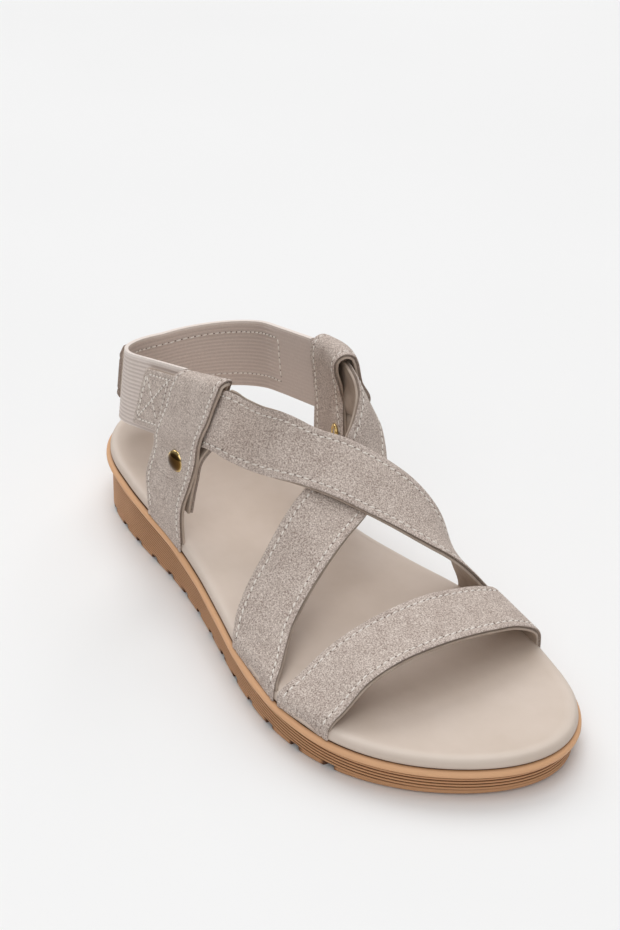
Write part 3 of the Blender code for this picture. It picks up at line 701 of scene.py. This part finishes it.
def suede_finish(name, dark, middle, light, grain):
    """Suede, buffed on its flesh side: no gloss, a short nap that catches light at a
    glancing angle, and a peppered grain. The nap is drawn coarser than life, so it shows."""
    finish, tree, shader = new_finish(name, 0.95, 0.15)
    shader.inputs["Sheen Weight"].default_value = 0.18
    shader.inputs["Sheen Roughness"].default_value = 0.45
    shader.inputs["Sheen Tint"].default_value = linear("#e8dcd2")
    coords = add_node(tree, "ShaderNodeTexCoord", {})
    nap = add_node(tree, "ShaderNodeTexNoise",
                   {"Scale": 1 / grain, "Detail": 4.0, "Roughness": 0.72},
                   [("Vector", coords.outputs["Object"])])
    brushed = add_node(tree, "ShaderNodeTexNoise",
                       {"Scale": 1 / 0.0065, "Detail": 4.0, "Roughness": 0.6},
                       [("Vector", coords.outputs["Object"])])
    patches = add_node(tree, "ShaderNodeMath", {"operation": "MULTIPLY_ADD", 1: 0.14, 2: -0.07},
                       [(0, brushed.outputs["Fac"])])
    peppered = add_node(tree, "ShaderNodeMath", {"operation": "ADD"},
                        [(0, nap.outputs["Fac"]), (1, patches.outputs["Value"])])
    colour_in(tree, shader, peppered.outputs["Value"],
              [(0.37, dark), (0.50, middle), (0.63, light)], nap.outputs["Fac"], 0.55, 0.00035)
    return finish


suede = suede_finish("grey taupe suede", "#95857c", "#c6b6ac", "#eadfd6", grain=0.00048)
suede_edge = suede_finish("cut edge of the suede", "#7f7066", "#9c8d83", "#b3a499", grain=0.0004)


def clouded_finish(name, roughness, specular, size, detail, dark, light, relief=0.0):
    """A finish that drifts between two shades in soft clouds of a real size, with a
    relief of the same clouds."""
    finish, tree, shader = new_finish(name, roughness, specular)
    coords = add_node(tree, "ShaderNodeTexCoord", {})
    clouds = add_node(tree, "ShaderNodeTexNoise", {"Scale": 1 / size, "Detail": detail},
                      [("Vector", coords.outputs["Object"])])
    colour_in(tree, shader, clouds.outputs["Fac"], [(0.3, dark), (0.7, light)],
              clouds.outputs["Fac"] if relief else None, 0.2, relief)
    return finish, shader


# The lining is a thin skived leather: pale, smooth and almost dull.
lining, _ = clouded_finish("skived lining leather", 0.6, 0.3, 0.004, 3.0,
                           "#ab9a8c", "#bfafa1", relief=0.0002)

# Spun polyester thread, cream, with the soft gloss of twisted filament.
thread, shader = clouded_finish("spun polyester thread", 0.5, 0.4, 0.0005, 2.0,
                                "#e6ddd3", "#fbf5ee")
shader.inputs["Sheen Weight"].default_value = 0.2

# A needle hole is painted as a dark spot: the suede's own shade, darkened by painted shade for the
# hole's depth.
painted_hole_shade, _ = clouded_finish("painted shade of a needle hole", 0.95, 0.1, 0.0010, 2.0,
                             "#564a43", "#7b6e66")

stitch = one_stitch(thread, painted_hole_shade)


def make_strap(name, rows, outward, *nodes):
    """A suede ply with its rows of stitches, and its lining, from the strap's two edges.
    The suede takes the place of the named solids."""
    upper = cut_ply(name + "_suede", rows, outward, 0.0, SUEDE_THICKNESS, STRAP_FACE,
                    suede, suede_edge)
    backing = cut_ply(name + "_lining", rows, outward, SUEDE_THICKNESS + GLUE_LINE,
                      LINING_THICKNESS, LINING_FACE, lining, lining,
                      inset=LINING_INSET, rounding=LINING_ROUNDING)
    hand_over(upper, "suede", *nodes)
    hand_over(backing, "suede")
    places = []
    for distance in (SEAM_INSET, -SEAM_INSET):
        places += along_seam(seam_line(rows, distance, outward), STITCH_PITCH, SEAM_END, SEAM_END)
    hand_over(sew(name + "_stitches", places, stitch), "suede")
    return backing


lateral_foot, medial_foot = TOE_STRAP_FEET
toe_rows = smooth_rows(foot_rows(lateral_foot, LATERAL)[::-1] + table_rows(TOE_STRAP)
                       + foot_rows(medial_foot, MEDIAL), 28)
toe_rows = smooth_rows(toe_rows, 110)
make_strap("toe_strap_band", toe_rows, -1, "toe_strap")

# Heel elastic: a woven band of covered rubber with fine lengthwise ribs and a plain
# selvedge at the top. It goes round the heel from one loop to the other, and is sewn on
# from inside to the patch that the strap's end fastens to.
BAND_WIDTH = 0.0270
BAND_THICKNESS = 0.0014
BAND_SETBACK = 0.0117
BAND_DEPTH = 0.0357
BAND_HALF = 0.0281
BAND_SHIFT = 0.0007
BAND_CENTRE = 0.0250
BAND_RISE = 0.26
BAND_MEDIAL_RISE = 0.19
BAND_MEDIAL_LIFT = 0.0028
BAND_LEAN = 0.10
ELASTIC_END_GAP = 0.0022
BEND_EASE = 0.0060
ROUND_HEEL_TURN = 1.2
RIB_COUNT = 18
ELASTIC_RELIEF = 0.00013
SELVEDGE = 0.0008
SELVEDGE_RELIEF, SELVEDGE_TONE = 0.4, 0.95
LATERAL_LOOP = {"foot": 0.0694, "span": 0.0280, "bend": 0.0175, "lean": 0.455, "rivet": 0.0333,
                "ease": 0.0008, "taper": 0.0, "inner": (1.0, 0.6, 0.0, 0.0, 0.0, 0.0)}
MEDIAL_LOOP = {"foot": 0.0839, "span": 0.0260, "bend": 0.0175, "lean": 0.0, "rivet": 0.0338,
               "ease": 0.0013, "taper": 0.0040, "inner": (1.0, 1.5, 2.2, 1.5, 1.3, 1.2)}


def band_plan(turn):
    """Where the heel band's outer face is in plan, which way it faces and its middle's
    height. A turn of -1 to 1 goes round the heel, lateral to medial, and beyond that
    along the straight sides."""
    angle = math.pi / 2 * min(max(turn, -1.0), 1.0)
    round_heel = BAND_DEPTH * (1 - math.cos(angle))
    beyond = max(abs(turn) - 1.0, 0.0) * BAND_DEPTH
    x = x_of(0.0) + BAND_SETBACK + round_heel + beyond
    y = BAND_SHIFT + BAND_HALF * math.sin(angle)
    normal = Vector((-math.cos(angle) * BAND_HALF, math.sin(angle) * BAND_DEPTH, 0.0)).normalized()
    rise = BAND_RISE * round_heel + (BAND_RISE if turn < 0 else BAND_MEDIAL_RISE) * beyond
    lift = BAND_MEDIAL_LIFT * max(math.sin(angle), 0.0)
    return x, y, HEEL_HEIGHT + BAND_CENTRE + rise + lift, normal


def band_point(turn, out, up):
    """Point beside the heel band's outer face: out is away from the foot."""
    x, y, height, normal = band_plan(turn)
    return Vector((x, y, height + up)) + normal * (out - BAND_LEAN * up)


def turn_at(distance, side):
    """The turn at which the band's straight side is a distance from the heel's end."""
    return side * (1.0 + (distance - BAND_SETBACK - BAND_DEPTH) / BAND_DEPTH)


def band_rows(start, end, out, width, steps, slant=0.0):
    """Rows along the band. slant puts each upper edge ahead of its middle."""
    rows = []
    for k in range(steps + 1):
        turn = start + (end - start) * k / steps
        ahead = math.copysign(slant / BAND_DEPTH, turn)
        rows.append([band_point(turn + ahead, out, width / 2),
                     band_point(turn - ahead, out, -width / 2)])
    return rows


def loop_distance(shape, share, z):
    """How far from the heel's end a loop is at a height; share is 0 at its rear edge and 1
    at its front edge."""
    start = shape["foot"] + shape["span"] * share
    above = z - sole_top(x_of(0.0) + start) - shape["bend"]
    return start + shape["lean"] * (above + math.hypot(above, BEND_EASE)) / 2


def band_rows_in_loop(shape, side, shares, out, width):
    """Rows along the band's straight side, slanted as the loop's edges are."""
    rows = []
    for share in shares:
        pair = []
        for up in (width / 2, -width / 2):
            distance = loop_distance(shape, share, HEEL_HEIGHT + BAND_CENTRE + BAND_WIDTH / 2)
            for _ in range(4):
                height = band_plan(turn_at(distance, side))[2] + up
                distance = loop_distance(shape, share, height)
            pair.append(band_point(turn_at(distance, side), out, up))
        rows.append(pair)
    return rows


# Ribbed elastic: matt grey-taupe yarn, its grooves darker with painted shade, and a weft across
# the ribs. The weft is drawn at 0.7 mm, about twice the real spacing, so that it shows.
elastic, tree, shader = new_finish("woven ribbed elastic", 0.85, 0.25)
shader.inputs["Sheen Weight"].default_value = 0.12
coords = add_node(tree, "ShaderNodeTexCoord", {})
tone = add_node(tree, "ShaderNodeAttribute", {"attribute_name": "tone"})
weft = add_node(tree, "ShaderNodeTexNoise", {"Scale": 1 / 0.0007, "Detail": 3.0, "Roughness": 0.7},
                [("Vector", coords.outputs["Object"])])
uneven = add_node(tree, "ShaderNodeMath", {"operation": "MULTIPLY_ADD", 1: 0.5, 2: -0.25},
                  [(0, weft.outputs["Fac"])])
shaded = add_node(tree, "ShaderNodeMath", {"operation": "ADD"},
                  [(0, tone.outputs["Fac"]), (1, uneven.outputs["Value"])])
colour_in(tree, shader, shaded.outputs["Value"],
          [(0.0, "#bcada5"), (0.5, "#dacbc2"), (1.0, "#f0e5dd")], weft.outputs["Fac"], 0.35, 0.0002)

ends = [band_rows_in_loop(shape, side, (-ELASTIC_END_GAP / shape["span"],), 0.0, BAND_WIDTH)
        for shape, side in ((LATERAL_LOOP, LATERAL), (MEDIAL_LOOP, MEDIAL))]
round_heel = band_rows(-ROUND_HEEL_TURN, ROUND_HEEL_TURN, 0.0, BAND_WIDTH, 20)
elastic_course = smooth_rows(ends[0] + round_heel + ends[1], 120)
steps = RIB_COUNT * 4
flat = [[row[0].lerp(row[1], k / steps) for k in range(steps + 1)] for row in elastic_course]
edge_lines = [[row[k] for row in flat] for k in (0, steps)]
ribbed, tones = [], []
for i, row in enumerate(flat):
    # the ribs are pressed flat where the elastic is sewn in behind the medial loop
    pressed = min(max((len(flat) - 1 - i) / len(flat) * 10 - 1.2, 0.15), 1.0)
    faces = [facing(flat, i, line, 1) for line in edge_lines]
    ribbed_row, row_tones = [], []
    for k, p in enumerate(row):
        wave = pressed * math.cos(2 * math.pi * k * RIB_COUNT / steps)
        # the grooves are darkened with painted shade
        relief, shade = wave, 0.52 + 0.3 * wave
        if k / steps * BAND_WIDTH < SELVEDGE:
            relief, shade = SELVEDGE_RELIEF, SELVEDGE_TONE
        ribbed_row.append(p + faces[0].lerp(faces[1], k / steps) * ELASTIC_RELIEF * relief)
        row_tones.append(shade)
    ribbed.append(ribbed_row[::-1])
    tones += row_tones[::-1]
band = lay_sheet("ribbed_heel_elastic", ribbed, elastic)
mark_points(band, "tone", tones)
apply_modifier(band, "SOLIDIFY", thickness=BAND_THICKNESS, offset=-1.0)
smooth_faces(band, 50)
hand_over(band, "elastic", "heel_elastic")

# Fastening: a patch of hook tape sewn flat on the elastic's outer face, under the strap's
# end, which is pressed on it. Its seam shows inside the elastic as a box of stitches.
PATCH_THICKNESS = 0.0012
PATCH_END = 0.0594
CLOSURE_END = -0.42
STRAP_WIDTH = 0.0220
PATCH_LEAD = 0.01
PATCH_MARGIN = 0.0006
BOX_RISE = 0.0088
BOX_LEAD, BOX_TRAIL = 0.04, 0.05
THREAD_PROUD = 0.00008
tape = suede_finish("woven hook tape", "#857870", "#a99b92", "#c4b8ae", grain=0.0012)
patch_end = turn_at(PATCH_END, MEDIAL)
patch_rows = band_rows(CLOSURE_END - PATCH_LEAD, patch_end, GAP + PATCH_THICKNESS,
                       STRAP_WIDTH - PATCH_MARGIN, 16)
patch = cut_ply("hook_tape_patch", smooth_rows(patch_rows, 70), 1, 0.0, PATCH_THICKNESS,
                LINING_FACE, tape, lining)
hand_over(patch, "fastening", "fastening_patch")


def inner_seam(turns_and_rises):
    """(point, facing) pairs on the elastic's inner face."""
    return [(band_point(turn, -BAND_THICKNESS - THREAD_PROUD, up), -band_plan(turn)[3])
            for turn, up in turns_and_rises]


box_start, box_end = CLOSURE_END + BOX_LEAD, patch_end - BOX_TRAIL
box = []
for up in (BOX_RISE, -BOX_RISE):
    box.append([(box_start + (box_end - box_start) * k / 60, up) for k in range(61)])
for turn in (box_start, box_end):
    box.append([(turn, BOX_RISE - 2 * BOX_RISE * k / 8) for k in range(9)])
places = []
for side_of_box in box:
    places += along_seam(inner_seam(side_of_box), STITCH_PITCH, 0.0, 0.0)
hand_over(sew("fastening_seam", places, stitch), "elastic")

# Cross straps: two bands like the toe strap's. The upper one starts as a tab sewn to the
# elastic, runs through the lateral loop and over the instep to the medial side. The lower
# one starts at the fastening behind the heel, runs through the medial loop and under it.
TAB_END = 0.0577
TAB_SLANT = 0.0037
STRAP_OUT = GAP + STRAP_THICKNESS
EXIT_RUN = 0.0030
DIP_SHARE = 5 / 54
DIP_MARGIN = 1.1
DIP_CLEARANCE = 0.0001
CLIPPED_CORNER = 0.0022

OVER_STRAP = [
    # upper edge: along, across, up; lower edge: along, across, up
    (0.510, -0.206, 0.943, 0.484, -0.284, 0.634),
    (0.502, -0.066, 0.849, 0.512, -0.196, 0.591),
    (0.514, 0.032, 0.772, 0.553, -0.118, 0.598),
    (0.532, 0.143, 0.713, 0.587, -0.025, 0.569),
    (0.562, 0.243, 0.638, 0.615, 0.054, 0.524),
    (0.594, 0.343, 0.526, 0.647, 0.144, 0.469),
    (0.618, 0.407, 0.386, 0.679, 0.229, 0.413),
    (0.632, 0.429, 0.249, 0.705, 0.319, 0.345),
    (0.642, 0.445, 0.150, 0.719, 0.407, 0.228),
]
OVER_STRAP_FOOT = (0.652, 0.722)

UNDER_STRAP = [
    # upper edge: along, across, up; lower edge: along, across, up
    (0.418, 0.314, 0.907, 0.428, 0.356, 0.615),
    (0.456, 0.282, 0.916, 0.457, 0.372, 0.660),
    (0.494, 0.249, 0.894, 0.488, 0.363, 0.636),
    (0.517, 0.180, 0.835, 0.526, 0.322, 0.587),
    (0.530, 0.097, 0.756, 0.562, 0.261, 0.558),
    (0.540, 0.025, 0.671, 0.593, 0.175, 0.530),
    (0.551, -0.053, 0.594, 0.617, 0.080, 0.502),
    (0.563, -0.140, 0.524, 0.635, -0.015, 0.470),
    (0.574, -0.218, 0.442, 0.652, -0.110, 0.417),
    (0.585, -0.292, 0.346, 0.666, -0.198, 0.350),
    (0.597, -0.373, 0.245, 0.680, -0.273, 0.289),
    (0.613, -0.445, 0.141, 0.703, -0.367, 0.209),
    (0.622, -0.468, 0.085, 0.733, -0.450, 0.115),
]
UNDER_STRAP_FOOT = (0.628, 0.752)


def clip_corners(rows):
    """Cuts the first end's two corners off at a slant."""
    clipped = []
    length = 0.0
    for k, row in enumerate(rows):
        if k:
            length += ((row[0] + row[1]) - (rows[k - 1][0] + rows[k - 1][1])).length / 2
        cut = max(CLIPPED_CORNER - length, 0.0)
        across = (row[1] - row[0]).normalized()
        clipped.append([row[0] + across * cut, row[1] - across * cut])
    return clipped


def lie_under(rows, above):
    """Lowers each edge of a strap where it would pass through the piece above, smoothly
    along its length."""
    tree = BVHTree.FromObject(above, bpy.context.evaluated_depsgraph_get())
    deep = Vector((0.0, 0.0, -RISE_UNIT))
    needs = []
    for first, second in rows:
        pair = [0.0, 0.0]
        for k in range(7):
            p = first.lerp(second, k / 6)
            hit = tree.ray_cast(p + deep, Vector((0.0, 0.0, 1.0)))[0]
            if hit is not None:
                need = (p.z + DIP_CLEARANCE - hit.z) * DIP_MARGIN
                pair = [max(low, need) if near >= 1 / 3 else low
                        for low, near in zip(pair, (1 - k / 6, k / 6))]
        needs.append(pair)
    reach = DIP_SHARE * (len(rows) - 1)
    lowered = []
    for i, row in enumerate(rows):
        sunk = []
        for edge, point in enumerate(row):
            dip = 0.0
            for k, pair in enumerate(needs):
                away = min(abs(k - i) / reach, 1.0)
                dip = max(dip, pair[edge] * (1 + math.cos(math.pi * away)) / 2)
            sunk.append(point - Vector((0.0, 0.0, dip)))
        lowered.append(sunk)
    return lowered


exit_share = 1 + EXIT_RUN / LATERAL_LOOP["span"]
tab = band_rows(turn_at(TAB_END, LATERAL), turn_at(PATCH_END + TAB_SLANT, LATERAL),
                STRAP_OUT, STRAP_WIDTH, 1, -TAB_SLANT)
run = band_rows_in_loop(LATERAL_LOOP, LATERAL, (0.0, 0.5, 1.0, exit_share), STRAP_OUT,
                        STRAP_WIDTH)
over_rows = tab + run + table_rows(OVER_STRAP) + foot_rows(OVER_STRAP_FOOT, MEDIAL)
over_rows = smooth_rows(smooth_rows(over_rows, 40), 160)
over_lining = make_strap("upper_cross_strap", over_rows, -1, "cross_straps")

closure_out = GAP + PATCH_THICKNESS + GAP + STRAP_THICKNESS
closure = band_rows(CLOSURE_END, turn_at(PATCH_END, MEDIAL), closure_out, STRAP_WIDTH, 10)
run = band_rows_in_loop(MEDIAL_LOOP, MEDIAL, (0.0,), STRAP_OUT, STRAP_WIDTH)
under_rows = closure + run + table_rows(UNDER_STRAP) + foot_rows(UNDER_STRAP_FOOT, LATERAL)
under_rows = smooth_rows(smooth_rows(under_rows, 54), 216)
under_rows = clip_corners(lie_under(under_rows, over_lining))
make_strap("lower_cross_strap", under_rows, 1)

# The tab's end is sewn down with a box and a cross.
TAB_BOX = 0.0205
TAB_SEAM_END = 0.0005
tab_high = seam_line(over_rows, SEAM_INSET, -1)
tab_low = seam_line(over_rows, -SEAM_INSET, -1)


def reach_along(line, distance):
    """The (point, facing) pair at a distance along a seam."""
    left = distance
    for (near, face), (far, _) in zip(line, line[1:]):
        step = (far - near).length
        if left <= step:
            return near.lerp(far, left / step), face
        left -= step
    return line[-1]


corners = [reach_along(tab_high, SEAM_INSET), reach_along(tab_high, TAB_BOX),
           reach_along(tab_low, TAB_BOX), reach_along(tab_low, SEAM_INSET)]
places = []
for a, b in ((0, 3), (1, 2), (0, 2), (1, 3)):
    (start, face), end = corners[a], corners[b][0]
    straight = [(start.lerp(end, k / 10) + face * SEAM_SINK, face) for k in range(11)]
    places += along_seam(straight, STITCH_PITCH, TAB_SEAM_END, TAB_SEAM_END)
hand_over(sew("tab_box_stitches", places, stitch), "suede")

# Loops: a strip of lined suede goes up from the sole outside the strap, folds over its top
# edge and comes down inside it, and a rivet under the strap holds the two plies. The
# lateral one leans forward, and the medial one stands.
LOOP_BOW = 0.0008
PLY_OPENING = 0.0034
INNER_PLY_SETBACK = 0.0042
INNER_PLY_END = 0.0150
FOLD_TURNS = (1 / 6, 1 / 3, 1 / 2, 2 / 3, 5 / 6)
OUTER_CUT_BACK = (1.0, 1.0, 1.0, 1.0, 1.0, 1.0, 0.85, 0.35)
RIVET_AHEAD = 0.0030
RIVET_CAP = 0.0080
RIVET_SEAT = RIVET_CAP * 0.6


def row_at(rows, distance):
    """The strap's row whose middle is a distance from the heel's end, the first such one
    beyond the round of the heel."""
    want = x_of(0.0) + distance
    middles = [(first.x + second.x) / 2 for first, second in rows]
    start = middles.index(min(middles[:len(rows) // 2]))
    for k in range(start, len(rows) - 1):
        if middles[k] <= want <= middles[k + 1]:
            t = (want - middles[k]) / (middles[k + 1] - middles[k])
            return [rows[k][edge].lerp(rows[k + 1][edge], t) for edge in (0, 1)]
    return rows[-1]


def rows_through(shape, rows):
    """The strap's rows at even steps through its loop."""
    steps = 5
    found = []
    for k in range(steps + 1):
        distance = shape["foot"] + shape["span"] * k / steps
        for _ in range(4):
            first, second = row_at(rows, distance)
            distance = loop_distance(shape, k / steps, (first.z + second.z) / 2)
        found.append((k / steps, first, second))
    return found


def rivet_place(shape, side, rows):
    """Centre of the rivet on the face where the loop's two plies meet."""
    strap_edge = rows_through(shape, rows)[2][2]
    distance = shape["foot"] + shape["span"] / 2
    edge = side_y(along_of(x_of(0.0) + distance), side) + side * FOOT_PROUD
    z = sole_top(x_of(0.0) + distance) + shape["rivet"]
    x = x_of(0.0) + loop_distance(shape, 0.5, z) + RIVET_AHEAD
    return Vector((x, (edge + strap_edge.y) / 2 - side * STRAP_THICKNESS / 2, z))


def loop_columns(shape, side, rows):
    """The folded strip's outer face, column by column from its rear edge to its front."""
    ply = STRAP_THICKNESS
    rivet = rivet_place(shape, side, rows)
    through = rows_through(shape, rows)
    columns = []
    ease = shape["ease"]
    for k, (share, first, second) in enumerate(through):
        before, after = through[max(k - 1, 0)], through[min(k + 1, len(through) - 1)]
        forward = (after[1] + after[2]) - (before[1] + before[2])
        rise = (first - second).normalized()
        out = rise.cross(forward).normalized()
        out = out if out.y * side > 0 else -out
        middle = (first + second) / 2

        def at(z, y):
            return Vector((x_of(0.0) + loop_distance(shape, share, z), y, z))

        start = x_of(0.0) + shape["foot"] + shape["span"] * share
        floor = sole_top(start) + GAP
        bend = sole_top(start) + shape["bend"]
        edge = side_y(along_of(start), side) + side * FOOT_PROUD
        face = rivet.y + side * (GAP / 2 + ply)
        column = [at(floor, edge), at(floor + INSOLE_THICKNESS, edge)]
        column.append(at(bend, (edge + face) / 2 + side * LOOP_BOW))
        low_z = rivet.z - RIVET_SEAT
        high_z = min(rivet.z + RIVET_SEAT, second.z - PLY_OPENING)
        column += [at(low_z, face), at(high_z, face)]
        column += [p + out * (ease + ply) for p in (second, middle, first)]
        radius = ply / 2 + ease + ply
        for turned_by in FOLD_TURNS:
            angle = math.pi * turned_by
            p = first + out * (radius * math.cos(angle) - ply / 2)
            p = p + rise * radius * math.sin(angle)
            column.append(p - Vector((INNER_PLY_SETBACK * share * turned_by, 0.0, 0.0)))
        face = rivet.y - side * (GAP / 2 + ply)
        inner_ply = [p - out * (ply + ease + ply) for p in (first, middle, second)]
        inner_ply += [at(z, face) for z in (high_z, low_z, sole_top(start) + INNER_PLY_END)]
        for p, setback in zip(inner_ply, shape["inner"]):
            column.append(p - Vector((INNER_PLY_SETBACK * share * setback, 0.0, 0.0)))
        # the outer ply's front edge is cut back under the strap
        for i, cut_back in enumerate(OUTER_CUT_BACK):
            column[i] = column[i] - Vector((shape["taper"] * share * cut_back, 0.0, 0.0))
        columns.append(column)
    return [list(row) for row in zip(*columns)]


loops = {}
for name, shape, side, rows in (("lateral", LATERAL_LOOP, LATERAL, over_rows),
                                ("medial", MEDIAL_LOOP, MEDIAL, under_rows)):
    course = smooth_rows(loop_columns(shape, side, rows), 150)
    loops[name] = (rivet_place(shape, side, rows), side)
    make_strap(name + "_strap_loop", course, side, name + "_loop")

# Rivets: a two-part rivet of brass-plated steel through both plies of each loop, a low domed
# cap outside and a rolled ring inside. A painted reflection makes the polished plate bright
# at the cap's rim and dark brown in its middle.
RIVET_DOME = 0.0021
RIVET_SHANK = 0.0030
RIVET_RING = 0.0064
RIVET_BORE = 0.0034
RIVET_SEGMENTS = 48
RIVET_TURN = math.radians(17)

brass, tree, shader = new_finish("polished brass plate", 0.16)
shader.inputs["Metallic"].default_value = 1.0
tone = add_node(tree, "ShaderNodeAttribute", {"attribute_name": "tone"})
# the tone paints reflections: a dark middle and a bright rim
colour_in(tree, shader, tone.outputs["Fac"],
          [(0.0, "#3c2915"), (0.45, "#6e5029"), (0.8, "#efd08c")])

face = GAP / 2 + STRAP_THICKNESS + GLUE_LINE
cap, ring, bore = RIVET_CAP / 2, RIVET_RING / 2, RIVET_BORE / 2
RIVET_PROFILE = [
    # outward, radius, tone
    (face + RIVET_DOME, 0.0, 0.05),
    (face + RIVET_DOME * 0.97, cap * 0.22, 0.05),
    (face + RIVET_DOME * 0.90, cap * 0.42, 0.1),
    (face + RIVET_DOME * 0.76, cap * 0.62, 0.2),
    (face + RIVET_DOME * 0.58, cap * 0.78, 0.5),
    (face + RIVET_DOME * 0.36, cap * 0.92, 0.9),
    (face + RIVET_DOME * 0.18, cap * 0.99, 1.0),
    (face + RIVET_DOME * 0.05, cap, 1.0),
    (face - 0.0002, cap * 0.94, 0.4),
    (face - 0.0002, RIVET_SHANK / 2, 0.4),
    (-face + 0.0002, RIVET_SHANK / 2, 0.4),
    (-face + 0.0002, ring * 0.94, 0.6),
    (-face - RIVET_DOME * 0.15, ring, 1.0),
    (-face - RIVET_DOME * 0.38, ring * 0.93, 1.0),
    (-face - RIVET_DOME * 0.46, ring * 0.80, 1.0),
    (-face - RIVET_DOME * 0.42, ring * 0.66, 1.0),
    (-face - RIVET_DOME * 0.25, bore, 0.6),
    (-face + GAP, bore * 0.8, 0.1),
    (-face + GAP, 0.0, 0.0),
]
tones = [tone for _, _, tone in RIVET_PROFILE for _ in range(RIVET_SEGMENTS + 1)]
for name, (centre, side) in loops.items():
    rows = []
    for out, radius, _ in RIVET_PROFILE:
        row = []
        for k in range(RIVET_SEGMENTS + 1):
            angle = 2 * math.pi * k / RIVET_SEGMENTS
            spoke = Vector((radius * math.cos(angle), side * out, radius * math.sin(angle)))
            row.append(centre + Matrix.Rotation(-side * RIVET_TURN, 3, "Z") @ spoke)
        rows.append(row)
    rivet = lay_sheet(name + "_brass_rivet", rows, brass)
    mark_points(rivet, "tone", tones)
    join_pieces([rivet], close=True)
    smooth_faces(rivet, 50)
    hand_over(rivet, "brass", name + "_rivet")

bpy.data.objects.remove(stitch)

# Studio: a seamless pale sweep, with broad softboxes behind the heel, overhead, on the medial
# side and in front, and a little even fill.
paper, _ = clouded_finish("matt paper sweep", 0.9, 0.1, 1 / 3, 2.0, "#f3f3f3", "#f5f5f5")
bpy.ops.object.select_all(action="DESELECT")
bpy.ops.mesh.primitive_plane_add(size=8.0)
floor = bpy.context.object
floor.name = "studio_sweep"
floor.data.materials.append(paper)

bpy.context.scene.view_settings.view_transform = "Standard"
world = bpy.data.worlds.new("even fill")
bpy.context.scene.world = world
world.use_nodes = True
background = world.node_tree.nodes["Background"]
background.inputs["Color"].default_value = (1.0, 1.0, 1.0, 1.0)
background.inputs["Strength"].default_value = 0.20


def add_lamp(name, towards, spread, power):
    """Light from far off, as even over the floor as a large softbox's. towards is the way
    it shines, and spread, in degrees, softens its shadows."""
    light = bpy.data.lights.new(name, "SUN")
    light.angle = math.radians(spread)
    light.energy = power
    lamp = bpy.data.objects.new(name, light)
    bpy.context.collection.objects.link(lamp)
    lamp.rotation_euler = Vector(towards).to_track_quat("-Z", "Y").to_euler()


add_lamp("back_softbox", (0.72, -0.05, -0.72), 40, 0.95)
add_lamp("top_softbox", (0.0, 0.02, -1.0), 40, 0.75)
add_lamp("medial_softbox", (0.45, -0.45, -0.77), 40, 0.70)
add_lamp("front_softbox", (-0.62, 0.42, -0.66), 50, 0.85)

# Camera: at the photograph's place, with the lens that fits its perspective.
CAMERA_AT = (0.453594, -0.265636, 0.323716)
AZIMUTH, ELEVATION, ROLL = math.radians(59.413), math.radians(27.103), math.radians(1.353)
LENS_LENGTH = 68.39

lens = bpy.data.cameras.new("camera")
lens.sensor_fit = "VERTICAL"
lens.sensor_height = 36.0
lens.lens = LENS_LENGTH
lens.clip_start = 0.01
camera = bpy.data.objects.new("camera", lens)
bpy.context.collection.objects.link(camera)
aim = Vector((-math.sin(AZIMUTH) * math.cos(ELEVATION), math.cos(AZIMUTH) * math.cos(ELEVATION),
              -math.sin(ELEVATION)))
level = Vector((math.cos(AZIMUTH), math.sin(AZIMUTH), 0.0))
upright = level.cross(aim)
right = level * math.cos(ROLL) + upright * math.sin(ROLL)
top = upright * math.cos(ROLL) - level * math.sin(ROLL)
turned = Matrix((right, top, -aim)).transposed().to_4x4()
camera.matrix_world = Matrix.Translation(CAMERA_AT) @ turned
bpy.context.scene.camera = camera
